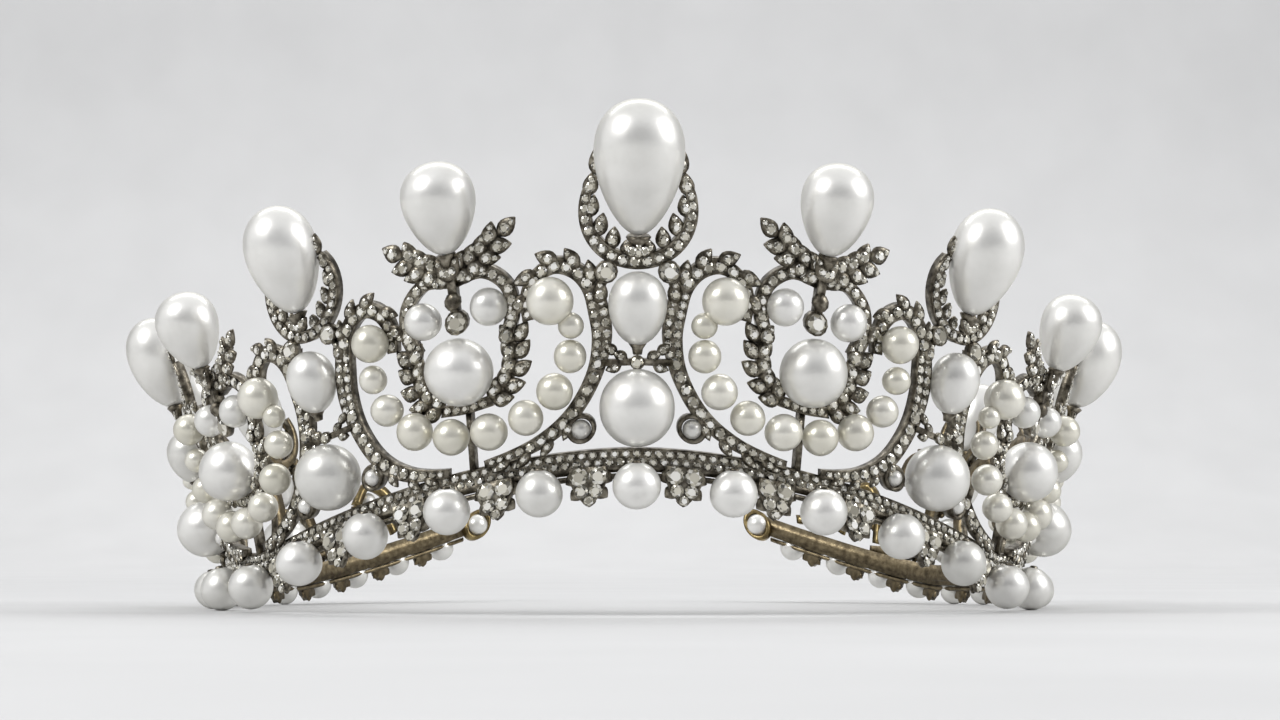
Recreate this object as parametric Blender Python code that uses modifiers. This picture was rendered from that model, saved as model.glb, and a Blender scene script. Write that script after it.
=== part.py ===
"""A pearl and diamond tiara: an open ring of silver-topped gold that flares outwards as it rises.

The ring is laid out with an angle round the head (0 at the front, positive to the wearer's left),
a height above the ring's lower edge and an offset out of the ring's surface. Each motif is first
made as a flat pattern, then bent round the ring. All the named sizes are in millimetres and degrees.
"""
import bmesh
import bpy
from math import atan, ceil, cos, degrees, hypot, pi, radians, sin, sqrt
from mathutils import Matrix, Vector

MM = 0.001
WELD = 0.00001
CURVE_STEPS = 12
PROFILE_SAMPLES = 60

# The ring
RING_RADIUS = 77.0
FLARE_SLOPE = 0.13
FLARE_CURVE = 0.0024
AXIS_SHIFT = 15.1
ARCH_RISE = 17.9
ARCH_END = 61.0
ARCH_SHAPE = 1.75
ARCH_EASE = 1.3
REST_END = 118.0
HEEL_RISE = 12.0
HEEL_SHAPE = 1.5
RING_END = 156.5
GAP = 0.32
PEAR_GAP = 0.5

# The rail that carries every motif, and the fringe of pearls and palmettes under it
RAIL_LOW = 6.8
RAIL_HIGH = 10.0
RAIL_BACK = -2.1
RAIL_FRONT = -0.5
RAIL_PITCH = 10.0
STRIP_RADIUS = 0.85
STRIP_HEIGHT = 5.4
STRIP_OFFSET = 0.0
STRIP_PITCH = 13.0
STRIP_OVERHANG = 3.2
FRINGE_TOP = 8.15
FRINGE_OFFSET = 3.1
FRINGE_RETREAT = 0.33
FRONT_PEARL_SIZE = 8.1
FRONT_PEARL_STEP = 11.75
FRONT_PEARLS_A_SIDE = 6
BACK_PEARL_SIZE = 5.7
SHRINK_START = 72.0
SHRINK_END = 105.0
PALMETTE_WIDTH = 6.6
PALMETTE_TOP = 0.72
PALMETTE_SHOULDER = 0.42
PALMETTE_LOW = 0.6
PALMETTE_HIGH = 6.0
PALMETTE_THICKNESS = 1.7
PALMETTE_OFFSET = 0.6

# Metal of the motifs
SCROLL_WIDTH = 2.7
SCROLL_THICKNESS = 1.7
VOLUTE_THICKNESS = 2.1
CRESCENT_THICKNESS = 1.9
LEAF_THICKNESS = 1.3
BAR_THICKNESS = 1.5
BOW_THICKNESS = 1.5
COLLET_THICKNESS = 2.6
POST_WIDTH = 1.4
POST_THICKNESS = 2.1
POST_OFFSET = -0.95
RIBBON_PITCH = 5.1
LEAF_PITCH = 4.3
MOTIF_FOOT = RAIL_HIGH + GAP

# Pearls
PEARL_SIDES = 10
PEARL_RINGS = 5
SMALL_RINGS = 4
PEARL_OFFSET = 2.4
SWAG_OFFSET = 3.2
SWAG_SIDES_RESOLUTION = 1
SWAG_PITCH = 10.0

# Pearls of the central motif: the drop's share is its place between the bar and the crescent
TOP_PEAR = {"width": 15.1, "length": 22.8, "taper": 0.3}
DROP = {"width": 9.9, "length": 12.3, "share": 0.58, "taper": 0.12}
GREAT_PEARL = {"width": 13.0, "length": 13.0, "taper": 0.0}
# Pearls of the wreath motif beside it: the lift is the great pearl's, over the laurel's lowest point
WREATH_PEAR = {"width": 12.4, "length": 15.8, "taper": 0.22}
WREATH_PEARL = {"width": 11.0, "length": 11.0, "lift": 0.6, "taper": 0.0}
PAIR_PEARL = {"size": 6.2, "side": 5.9, "height": 36.4}

CRESCENT_STEPS = 8
CRESCENT = {
    "radius": 8.5, "end": 34.0, "width": 3.6, "tip": 1.8, "fullness": 0.6,
}
CUP = {"width": 3.6, "height": 1.2, "thickness": 3.6, "offset": 1.6, "solder": 0.8}
SOLDER = 0.6
COLLET = {"size": 3.9, "side": 5.2, "height": 39.6}
COLLET_FOOT = {"side": 7.4, "height": 34.6, "width": 2.0}
VOLUTE = {"size": 5.0, "side": 9.3, "lift": 1.0}
GREAT_LIFT = 0.3
BAR = {"width": 1.3, "side": 6.0, "lift": 1.0, "offset": 0.9}
CENTRE_STONE = {"size": 4.2, "height": 34.9}
STEM_WIDTH = 2.2
STEM_OFFSET = 1.3
STEM_THICKNESS = 2.7
STEM_RISE = 2.5
ARC_WIDTH = 2.3
LAUREL_LEAF = {"reach": 2.5, "waist": 1.0}
BOW = {"reach": 2.2, "waist": 1.3, "offset": 0.5, "height": 42.9}
POST_TOP = 20.8
PAIR_OFFSET = 1.0
PEARL_EASE = 0.7
COLLET_EASE = 0.6
VOLUTE_EASE = 0.5
SEAT_GROWTH = 1.15
STONE_SIDES = 8
STONE_TABLE = 0.55
STONE_CROWN = 0.9

# One row for each motif on the right half: name, kind, angle and its shares of the central sizes
MOTIFS = [
    {"name": "0", "kind": "column", "angle": 0.0, "rise": 1.0, "span": 1.0, "pearl": 1.0},
    {"name": "1", "kind": "wreath", "angle": 20.8, "rise": 1.0, "span": 1.0, "pearl": 1.0},
    {"name": "2", "kind": "column", "angle": 40.5, "rise": 1.0, "span": 0.88, "pearl": 0.84},
    {"name": "3", "kind": "wreath", "angle": 60.3, "rise": 0.96, "span": 0.98, "pearl": 0.91},
    {"name": "4", "kind": "column", "angle": 80.2, "rise": 0.89, "span": 0.88, "pearl": 0.77},
    {"name": "5", "kind": "wreath", "angle": 100.0, "rise": 0.84, "span": 0.94, "pearl": 0.82},
    {"name": "6", "kind": "column", "angle": 119.6, "rise": 0.78, "span": 0.8, "pearl": 0.68},
]

# The side scroll of a column motif, from its outer foot over the arch and down to the rail:
# side, height and the ribbon's width in shares of the scroll width
COLUMN_SCROLL = [
    (18.3, 32.8, 0.7), (18.6, 36.8, 0.85), (17.0, 39.8, 0.95), (13.8, 41.2, 1.0),
    (10.4, 40.0, 1.0), (7.9, 37.2, 1.1), (6.5, 33.2, 1.3), (5.9, 28.6, 1.25),
    (6.9, 23.4, 1.05), (9.4, 18.4, 1.0), (12.9, 14.9, 1.0), (18.0, 12.5, 0.85), (22.4, 11.3, 0.55),
]
# Half of the ring scroll over a wreath's pair of pearls, from the bow down to the laurel
WREATH_ARC = [(0.0, 41.5), (5.2, 42.2), (9.0, 39.3), (9.6, 34.9), (8.2, 31.0)]
# Half of the laurel wreath, from the bottom up to its tip
LAUREL = [(0.0, 20.4), (4.6, 20.8), (8.0, 23.6), (9.2, 27.6), (9.4, 32.4)]
BOW_LEAF = [(0.0, 42.9), (4.6, 44.5), (10.6, 48.9)]
# The garland that hangs between two columns: angle from the wreath, height and pearl size
SWAG = [
    {"angle": -11.2, "height": 36.0, "size": 8.0},
    {"angle": -13.4, "height": 31.6, "size": 4.4},
    {"angle": -13.2, "height": 26.5, "size": 5.6},
    {"angle": -11.3, "height": 20.9, "size": 6.2},
    {"angle": -7.8, "height": 17.2, "size": 6.0},
    {"angle": -3.3, "height": 15.9, "size": 6.4},
    {"angle": 1.4, "height": 16.4, "size": 6.3},
    {"angle": 6.0, "height": 18.9, "size": 6.4},
    {"angle": 9.3, "height": 23.8, "size": 5.6},
    {"angle": 10.6, "height": 29.6, "size": 4.9},
    {"angle": 10.3, "height": 35.6, "size": 6.5},
]
SWAG_TUBE = 5.4
# Angles of the fringe pearls behind the front ones
SIDE_FRINGE = [81.6, 91.4, 100.5, 109.1, 117.4, 125.7, 133.9, 142.1, 150.3]
# The low scrollwork that closes each end of the ring: angles and heights of its wires
HEEL_MIDDLE = 139.0
HEEL_WIRES = [
    {
        "width": 1.8, "thickness": 1.7,
        "route": [
            (134.3, 20.0), (136.6, 23.5), (139.6, 21.5), (141.8, 17.0), (144.4, 13.6), (149.0, 11.8),
        ],
    },
    {"width": 1.8, "thickness": 1.5, "route": [(133.8, 11.8), (134.0, 16.0), (134.3, 20.0)]},
    {
        "width": 1.5, "thickness": 1.3,
        "route": [(134.0, 14.5), (137.0, 16.8), (140.0, 14.8), (141.0, 11.8)],
    },
]

SILVER = {"colour": (0.20, 0.18, 0.155), "roughness": 0.38, "metallic": 1.0}
GOLD = {"colour": (0.62, 0.43, 0.2), "roughness": 0.32, "metallic": 1.0}
PEARL = {"colour": (0.86, 0.84, 0.79), "roughness": 0.22, "metallic": 0.0}


def flare(height):
    """Radius of the ring's surface at a height over its lower edge."""
    return RING_RADIUS + FLARE_SLOPE * height + FLARE_CURVE * height * height


def lean(height):
    """How far the surface leans out from upright, in radians."""
    return atan(FLARE_SLOPE + 2 * FLARE_CURVE * height)


def fringe_size(angle):
    """Size of a fringe pearl: large over the brow, smaller round the back."""
    share = min(max((abs(angle) - SHRINK_START) / (SHRINK_END - SHRINK_START), 0.0), 1.0)
    return FRONT_PEARL_SIZE + (BACK_PEARL_SIZE - FRONT_PEARL_SIZE) * share


def fringe_offset(size):
    """How far out a fringe pearl of a size hangs: the smaller ones keep closer to the rail."""
    return FRINGE_OFFSET - (FRONT_PEARL_SIZE - size) * FRINGE_RETREAT


def lower_edge(angle):
    """Height of the ring's lower edge: an arch over the brow, level sides and a raised heel.

    Where the pearls are smaller the whole ring sinks, so that they still rest on the table.
    """
    turn = abs(angle)
    size = fringe_size(angle)
    sink = size - FRINGE_TOP + fringe_offset(size) * sin(lean(FRINGE_TOP - size / 2))
    if turn < ARCH_END:
        return sink + ARCH_RISE * (1 - (turn / ARCH_END) ** ARCH_SHAPE) ** ARCH_EASE
    if turn < REST_END:
        return sink
    return sink + HEEL_RISE * ((turn - REST_END) / (RING_END - REST_END)) ** HEEL_SHAPE


def place(angle, height, offset=0.0):
    """A point of the ring in metres."""
    tilt = lean(height)
    radius = flare(height) + offset * cos(tilt)
    turn = radians(angle)
    z = lower_edge(angle) + height - offset * sin(tilt)
    return Vector((radius * sin(turn), AXIS_SHIFT - radius * cos(turn), z)) * MM


def stance(angle, height, offset=0.0):
    """Matrix of a piece that stands on the ring: X along it, -Y outwards and Z up the flare."""
    turn = Matrix.Rotation(radians(angle), 4, "Z")
    tilt = Matrix.Rotation(lean(height), 4, "X")
    return Matrix.Translation(place(angle, height, offset)) @ turn @ tilt


def material(name, finish):
    made = bpy.data.materials.new(name)
    made.use_nodes = True
    shader = made.node_tree.nodes["Principled BSDF"]
    shader.inputs["Base Color"].default_value = (*finish["colour"], 1.0)
    shader.inputs["Roughness"].default_value = finish["roughness"]
    shader.inputs["Metallic"].default_value = finish["metallic"]
    made.diffuse_color = (*finish["colour"], 1.0)
    return made


def add_object(name, mesh, collection, finish=None):
    made = bpy.data.objects.new(name, mesh)
    collection.objects.link(made)
    if finish:
        mesh.materials.clear()
        mesh.materials.append(finish)
    return made


def face_out(bm):
    """Turn every face of a closed mesh outwards."""
    bmesh.ops.recalc_face_normals(bm, faces=bm.faces)
    if bm.calc_volume(signed=True) < 0:
        bmesh.ops.reverse_faces(bm, faces=bm.faces)


def mesh_from(bm, name):
    face_out(bm)
    mesh = bpy.data.meshes.new(name)
    bm.to_mesh(mesh)
    bm.free()
    return mesh


def evaluated_mesh(source, name):
    """The mesh of an object with its modifiers, its loose caps welded."""
    bpy.context.view_layer.update()
    graph = bpy.context.evaluated_depsgraph_get()
    mesh = bpy.data.meshes.new_from_object(source.evaluated_get(graph))
    mesh.name = name
    bm = bmesh.new()
    bm.from_mesh(mesh)
    bmesh.ops.remove_doubles(bm, verts=bm.verts, dist=WELD)
    face_out(bm)
    bm.to_mesh(mesh)
    bm.free()
    return mesh


def smooth_line(points, pitch):
    """Evenly spaced points on a smooth curve through the given ones."""
    fine = []
    last = len(points) - 1
    for index in range(last):
        a = points[max(index - 1, 0)]
        b = points[index]
        c = points[index + 1]
        d = points[min(index + 2, last)]
        for step in range(CURVE_STEPS):
            t = step / CURVE_STEPS
            fine.append(tuple(
                0.5 * (2 * q + (r - p) * t + (2 * p - 5 * q + 4 * r - s) * t * t
                       + (3 * q - p - 3 * r + s) * t ** 3)
                for p, q, r, s in zip(a, b, c, d)
            ))
    fine.append(tuple(points[-1]))
    lengths = [0.0]
    for before, after in zip(fine, fine[1:]):
        lengths.append(lengths[-1] + hypot(*(y - x for x, y in zip(before, after))))
    count = max(2, round(lengths[-1] / pitch))
    line = []
    for step in range(count + 1):
        want = lengths[-1] * step / count
        at = next((i for i, done in enumerate(lengths) if done >= want), len(fine) - 1)
        at = max(at, 1)
        span = lengths[at] - lengths[at - 1]
        share = (want - lengths[at - 1]) / span if span else 0.0
        line.append(tuple(p + (q - p) * share for p, q in zip(fine[at - 1], fine[at])))
    return line


def normals_of(line):
    """Unit normal at each point of a flat line."""
    out = []
    for index in range(len(line)):
        before = line[max(index - 1, 0)]
        after = line[min(index + 1, len(line) - 1)]
        along = (after[0] - before[0], after[1] - before[1])
        size = hypot(*along)
        out.append((-along[1] / size, along[0] / size))
    return out


def ribbon_outline(line, widths):
    """Outline of a ribbon along a line whose width is given at each point."""
    left = []
    right = []
    for (x, y), (nx, ny), width in zip(line, normals_of(line), widths):
        left.append((x + nx * width / 2, y + ny * width / 2))
        right.append((x - nx * width / 2, y - ny * width / 2))
    return left + right[::-1]


def even(line, width):
    return [width] * len(line)


def branch_outline(line, reach, waist):
    """Outline of a leafy branch: leaves of one reach on both sides of a narrow waist."""
    left = []
    right = []
    normals = normals_of(line)
    for index, ((x, y), (nx, ny)) in enumerate(zip(line, normals)):
        half = reach if index % 2 else waist
        if index == len(line) - 1:
            half = waist / 2
        left.append((x + nx * half, y + ny * half))
        right.append((x - nx * half, y - ny * half))
    return left + right[::-1]


def plate(outline, thickness, offset=0.0):
    """Flat piece of a motif: an outline in width and height, extruded along the offset."""
    curve = bpy.data.curves.new("plate", "CURVE")
    curve.dimensions = "2D"
    curve.fill_mode = "BOTH"
    curve.extrude = thickness / 2
    spline = curve.splines.new("POLY")
    spline.points.add(len(outline) - 1)
    for point, (x, y) in zip(spline.points, outline):
        point.co = (x, y, 0.0, 1.0)
    spline.use_cyclic_u = True
    source = bpy.data.objects.new("plate", curve)
    bpy.context.scene.collection.objects.link(source)
    mesh = evaluated_mesh(source, "plate")
    bpy.data.objects.remove(source)
    stand = Matrix.Translation((0.0, -offset, 0.0)) @ Matrix.Rotation(radians(90), 4, "X")
    mesh.transform(stand)
    return mesh


def bar(start, end, width, thickness, offset=0.0):
    return plate(ribbon_outline([start, end], [width, width]), thickness, offset)


def cut_stone(side, height, size, thickness):
    """A brilliant in its collet: a round wall that ends in a crown of facets and a flat table."""
    bm = bmesh.new()
    stand = Matrix.Translation((side, 0.0, height)) @ Matrix.Rotation(radians(90), 4, "X")
    bmesh.ops.create_cone(
        bm, cap_ends=True, segments=STONE_SIDES, radius1=size / 2, radius2=size / 2,
        depth=thickness, matrix=stand)
    front = [face for face in bm.faces if face.normal.y < -0.9]
    bmesh.ops.inset_region(bm, faces=front, thickness=size / 2 * (1 - STONE_TABLE), depth=0.0)
    bmesh.ops.translate(bm, verts=front[0].verts, vec=(0.0, -STONE_CROWN, 0.0))
    return mesh_from(bm, "stone")


def disc(side, height, size, thickness):
    """The round ring of a volute, plain and solid."""
    bm = bmesh.new()
    stand = Matrix.Translation((side, 0.0, height)) @ Matrix.Rotation(radians(90), 4, "X")
    bmesh.ops.create_cone(
        bm, cap_ends=True, segments=STONE_SIDES, radius1=size / 2, radius2=size / 2,
        depth=thickness, matrix=stand)
    return mesh_from(bm, "disc")


def pearl_ball(side, height, size, offset):
    bm = bmesh.new()
    bmesh.ops.create_uvsphere(
        bm, u_segments=PEARL_SIDES, v_segments=SMALL_RINGS, radius=size / 2,
        matrix=Matrix.Translation((side, -offset, height)))
    return mesh_from(bm, "pearl")


def flat_union(meshes, name, workshop):
    """One closed mesh out of the overlapping flat pieces of a motif."""
    pieces = [add_object("piece", mesh, workshop) for mesh in meshes]
    for other in pieces[1:]:
        join = pieces[0].modifiers.new("solder", "BOOLEAN")
        join.operation = "UNION"
        join.solver = "EXACT"
        join.object = other
    mesh = evaluated_mesh(pieces[0], name)
    for piece in pieces:
        bpy.data.objects.remove(piece)
    return mesh


def bend(mesh, angle):
    """Wrap a flat pattern round the ring at an angle: its widths are real lengths at each height."""
    bm = bmesh.new()
    bm.from_mesh(mesh)
    bmesh.ops.triangulate(bm, faces=bm.faces)
    for vert in bm.verts:
        side, offset, height = vert.co.x, -vert.co.y, vert.co.z
        vert.co = place(angle + degrees(side / flare(height)), height, offset)
    bm.to_mesh(mesh)
    bm.free()


def eased(share, ease):
    """A share of a size, brought nearer to the whole size as the ease falls to nothing."""
    return 1 - ease * (1 - share)


def great_size(row):
    return GREAT_PEARL["length"] * eased(row["pearl"], PEARL_EASE)


def great_height(row):
    """Height of the middle of a column's great pearl, which stands just over the rail."""
    return MOTIF_FOOT + GREAT_LIFT + great_size(row) / 2


def bar_height(row):
    """Height of the bar over the great pearl."""
    return great_height(row) + great_size(row) / 2 + BAR["lift"]


def crescent_height(row):
    """Height of the middle of a column's crescent, which is soldered to its two collets."""
    size = row["pearl"]
    collet = COLLET["size"] / 2 * eased(size, COLLET_EASE)
    reach = (CRESCENT["radius"] + CRESCENT["width"] / 2) * size + collet - SOLDER
    side = COLLET["side"] * row["span"]
    return COLLET["height"] * row["rise"] + sqrt(max(reach * reach - side * side, 0.0))


def cup_base(row):
    """Height of the inner edge of the crescent at its lowest, where the pear's cup stands."""
    return crescent_height(row) - (CRESCENT["radius"] - CRESCENT["width"] / 2) * row["pearl"]


def drop_height(row):
    """Height of the middle of the drop, which hangs between the crescent and the bar."""
    low = bar_height(row) + BAR["width"] / 2
    high = crescent_height(row) - (CRESCENT["radius"] + CRESCENT["width"] / 2) * row["pearl"]
    return low + DROP["share"] * (high - low)


def wreath_pearl_height(row):
    """Height of the middle of a wreath's great pearl, which stands in the laurel's bend."""
    size = WREATH_PEARL["length"] * eased(row["pearl"], PEARL_EASE)
    return LAUREL[0][1] * row["rise"] + WREATH_PEARL["lift"] + size / 2


def column_crest(row):
    """Height of the middle of the pear pearl that stands in a column's cup."""
    return cup_base(row) + CUP["height"] + PEAR_GAP + TOP_PEAR["length"] / 2 * row["pearl"]


def stem_top(row):
    """Height of the end of the stem that carries the pear pearl over a wreath's bow."""
    return BOW["height"] * row["rise"] + STEM_RISE * row["pearl"]


def wreath_crest(row):
    """Height of the middle of the pear pearl over a wreath's bow."""
    return stem_top(row) + PEAR_GAP + WREATH_PEAR["length"] / 2 * row["pearl"]


def column_pieces(row):
    """Flat pieces of a column motif: two side scrolls, volutes, collets, a bar and the crescent."""
    rise = row["rise"]
    span = row["span"]
    size = row["pearl"]

    def spot(side, height):
        return side * span, height * rise

    def scroll_spot(side, height, width):
        low = MOTIF_FOOT + width * SCROLL_WIDTH / 2
        return side * span, max(height * rise, low), width

    pieces = []
    for hand in (1, -1):
        ribbon = [scroll_spot(hand * u, v, w) for u, v, w in COLUMN_SCROLL]
        route = smooth_line(ribbon, RIBBON_PITCH)
        line = [point[:2] for point in route]
        widths = [point[2] * SCROLL_WIDTH for point in route]
        pieces.append(plate(ribbon_outline(line, widths), SCROLL_THICKNESS))
        ring_size = VOLUTE["size"] * eased(size, VOLUTE_EASE)
        ring_height = MOTIF_FOOT + ring_size / 2 + VOLUTE["lift"] * rise
        ring_side = hand * VOLUTE["side"] * span
        pieces.append(disc(ring_side, ring_height, ring_size, VOLUTE_THICKNESS))
        stone = spot(hand * COLLET["side"], COLLET["height"])
        stone_size = COLLET["size"] * eased(size, COLLET_EASE)
        pieces.append(cut_stone(*stone, stone_size, COLLET_THICKNESS))
        foot = spot(hand * COLLET_FOOT["side"], COLLET_FOOT["height"])
        pieces.append(bar(stone, foot, COLLET_FOOT["width"], LEAF_THICKNESS))
    reach = BAR["side"] * span
    ends = (-reach, bar_height(row)), (reach, bar_height(row))
    pieces.append(bar(*ends, BAR["width"], BAR_THICKNESS, BAR["offset"]))
    middle = crescent_height(row)
    radius = CRESCENT["radius"] * size
    arc = []
    widths = []
    for step in range(CRESCENT_STEPS + 1):
        share = step / CRESCENT_STEPS
        turn = radians(CRESCENT["end"] - share * (180 + 2 * CRESCENT["end"]))
        arc.append((radius * cos(turn), middle + radius * sin(turn)))
        fullness = sin(pi * share) ** CRESCENT["fullness"] if 0 < share < 1 else 0.0
        widths.append((CRESCENT["tip"] + (CRESCENT["width"] - CRESCENT["tip"]) * fullness) * size)
    pieces.append(plate(ribbon_outline(arc, widths), CRESCENT_THICKNESS))
    cup_ends = (0.0, cup_base(row) - CUP["solder"]), (0.0, cup_base(row) + CUP["height"])
    pieces.append(bar(*cup_ends, CUP["width"] * size, CUP["thickness"] * size, CUP["offset"]))
    return pieces


def mirrored(points):
    """A symmetric line: the mirror image of a half that starts at the middle, then the half."""
    return [(-u, v) for u, v in reversed(points[1:])] + points


def wreath_pieces(row):
    """Flat pieces of a wreath motif: ring scrolls, pair of pearls, laurel wreath, bow and post."""
    rise = row["rise"]
    span = row["span"]
    size = row["pearl"]

    def spot(side, height):
        return side * span, height * rise

    def route(points, pitch):
        return smooth_line([spot(u, v) for u, v in mirrored(points)], pitch)

    arc = route(WREATH_ARC, RIBBON_PITCH)
    laurel = route(LAUREL, LEAF_PITCH)
    bow = route(BOW_LEAF, LEAF_PITCH)
    pieces = [
        plate(ribbon_outline(arc, even(arc, ARC_WIDTH)), SCROLL_THICKNESS),
        plate(branch_outline(laurel, **LAUREL_LEAF), LEAF_THICKNESS),
        plate(branch_outline(bow, BOW["reach"], BOW["waist"]), BOW_THICKNESS, BOW["offset"]),
    ]
    for hand in (1, -1):
        pair = spot(hand * PAIR_PEARL["side"], PAIR_PEARL["height"])
        pieces.append(pearl_ball(*pair, PAIR_PEARL["size"] * size, PAIR_OFFSET))
    stone = spot(0.0, CENTRE_STONE["height"])
    pieces.append(bar(stone, (0.0, stem_top(row)), STEM_WIDTH, STEM_THICKNESS, STEM_OFFSET))
    stone_size = CENTRE_STONE["size"] * eased(size, PEARL_EASE)
    pieces.append(cut_stone(*stone, stone_size, COLLET_THICKNESS))
    post_foot = (0.0, MOTIF_FOOT)
    pieces.append(bar(post_foot, spot(0.0, POST_TOP), POST_WIDTH, POST_THICKNESS, POST_OFFSET))
    return pieces


def turned_pearl(name, sizes, share, angle, height, finish, collection):
    """A pearl or pear turned from its profile, narrow end down, standing on the ring."""
    width = sizes["width"] * share * MM
    length = sizes["length"] * share * MM
    taper = sizes["taper"]
    steps = PEARL_RINGS
    samples = [pi * step / PROFILE_SAMPLES for step in range(PROFILE_SAMPLES + 1)]
    largest = max(sin(turn) * (1 - taper * cos(turn)) for turn in samples)
    bm = bmesh.new()
    verts = []
    for step in range(steps + 1):
        turn = pi * (1 - step / steps)
        radius = width / 2 * sin(turn) * (1 - taper * cos(turn)) / largest
        z = -length / 2 * cos(turn)
        verts.append(bm.verts.new((max(radius, 0.0) if 0 < step < steps else 0.0, 0.0, z)))
    for before, after in zip(verts, verts[1:]):
        bm.edges.new((before, after))
    mesh = bpy.data.meshes.new(name)
    bm.to_mesh(mesh)
    bm.free()
    made = add_object(name, mesh, collection, finish)
    screw = made.modifiers.new("turn", "SCREW")
    screw.steps = PEARL_SIDES
    screw.render_steps = PEARL_SIDES
    screw.use_merge_vertices = True
    screw.merge_threshold = WELD
    made.matrix_world = stance(angle, height, PEARL_OFFSET)
    return made


def seat_cutter(name, pearls, clearance, collection):
    """One cutter with a copy of each pearl, grown by the clearance."""
    bm = bmesh.new()
    for pearl in pearls:
        mesh = evaluated_mesh(pearl, "seat")
        grown = bmesh.new()
        grown.from_mesh(mesh)
        reach = max(vert.co.length for vert in grown.verts)
        waist = max(hypot(vert.co.x, vert.co.y) for vert in grown.verts)
        factor = 1 + clearance * MM * SEAT_GROWTH / min(reach, waist)
        bmesh.ops.scale(grown, verts=grown.verts, vec=(factor, factor, factor))
        grown.to_mesh(mesh)
        grown.free()
        mesh.transform(pearl.matrix_world)
        bm.from_mesh(mesh)
        bpy.data.meshes.remove(mesh)
    cutter = add_object(name, mesh_from(bm, name), collection)
    cutter.hide_render = True
    cutter.display_type = "WIRE"
    return cutter


def make_rail(parts, finish):
    """The jewelled rail, from heel to heel."""
    bm = bmesh.new()
    bmesh.ops.create_cube(bm, size=1.0)
    long_edges = [
        edge for edge in bm.edges
        if abs(edge.verts[0].co.x - edge.verts[1].co.x) > 0.5
    ]
    spans = round(radians(2 * RING_END) * RING_RADIUS / RAIL_PITCH)
    bmesh.ops.subdivide_edges(bm, edges=long_edges, cuts=spans - 1, use_grid_fill=True)
    for vert in bm.verts:
        angle = vert.co.x * 2 * RING_END
        offset = RAIL_BACK if vert.co.y > 0 else RAIL_FRONT
        height = RAIL_HIGH if vert.co.z > 0 else RAIL_LOW
        vert.co = place(angle, height, offset)
    mesh = mesh_from(bm, "rail")
    return add_object("rail", mesh, parts, finish)


def palmette(angle, size):
    """A hanging palmette of the fringe, bent to the ring."""
    width = PALMETTE_WIDTH * size / FRONT_PEARL_SIZE
    high = PALMETTE_HIGH
    low = PALMETTE_LOW + FRONT_PEARL_SIZE - size
    middle = high - (high - low) * PALMETTE_SHOULDER
    top = width * PALMETTE_TOP
    outline = [
        (-top / 2, high), (-width / 2, middle), (0.0, low), (width / 2, middle), (top / 2, high),
    ]
    mesh = plate(outline, PALMETTE_THICKNESS, PALMETTE_OFFSET)
    bend(mesh, angle)
    return mesh


def fringe_strip(first, last):
    """The gallery wire that the fringe hangs from."""
    reach = radians(abs(last - first)) * RING_RADIUS
    count = ceil(reach / STRIP_PITCH)
    curve = bpy.data.curves.new("strip", "CURVE")
    curve.dimensions = "3D"
    curve.bevel_depth = STRIP_RADIUS * MM
    curve.bevel_resolution = 0
    curve.use_fill_caps = True
    spline = curve.splines.new("POLY")
    spline.points.add(count)
    for step, point in enumerate(spline.points):
        angle = first + (last - first) * step / count
        point.co = (*place(angle, STRIP_HEIGHT, STRIP_OFFSET), 1.0)
    source = bpy.data.objects.new("strip", curve)
    bpy.context.scene.collection.objects.link(source)
    mesh = evaluated_mesh(source, "strip")
    bpy.data.objects.remove(source)
    return mesh


def fringe_ball(angle):
    """A pearl of the fringe: all their tops are level with the lower part of the rail."""
    size = fringe_size(angle)
    bm = bmesh.new()
    bmesh.ops.create_uvsphere(
        bm, u_segments=PEARL_SIDES, v_segments=SMALL_RINGS, radius=size / 2 * MM,
        matrix=stance(angle, FRINGE_TOP - size / 2, fringe_offset(size)))
    return mesh_from(bm, "pearl")


def make_fringe(name, angles, overhang, parts, workshop, finish):
    """A run of fringe pearls with a palmette between each two, all on one gallery wire."""
    meshes = [fringe_strip(angles[0] - overhang, angles[-1] + overhang)]
    for angle in angles:
        meshes.append(fringe_ball(angle))
    for before, after in zip(angles, angles[1:]):
        middle = (before + after) / 2
        meshes.append(palmette(middle, fringe_size(middle)))
    mesh = flat_union(meshes, name, workshop)
    return add_object(name, mesh, parts, finish)


def make_swag(name, row, hand, parts, finish):
    """The garland below a wreath, as the thread's path with the pearls' thickness."""
    path = [
        (row["angle"] + spot["angle"] * row["span"], spot["height"] * row["rise"])
        for spot in SWAG
    ]
    scale = radians(1.0) * RING_RADIUS
    flat = [(angle * scale, height) for angle, height in path]
    line = smooth_line(flat, SWAG_PITCH)
    curve = bpy.data.curves.new(name, "CURVE")
    curve.dimensions = "3D"
    curve.bevel_depth = SWAG_TUBE / 2 * row["pearl"] * MM
    curve.bevel_resolution = SWAG_SIDES_RESOLUTION
    curve.use_fill_caps = True
    spline = curve.splines.new("POLY")
    spline.points.add(len(line) - 1)
    for point, (across, height) in zip(spline.points, line):
        point.co = (*place(hand * across / scale, height, SWAG_OFFSET), 1.0)
    source = bpy.data.objects.new(name, curve)
    bpy.context.scene.collection.objects.link(source)
    mesh = evaluated_mesh(source, name)
    bpy.data.objects.remove(source)
    return add_object(name, mesh, parts, finish)


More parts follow.
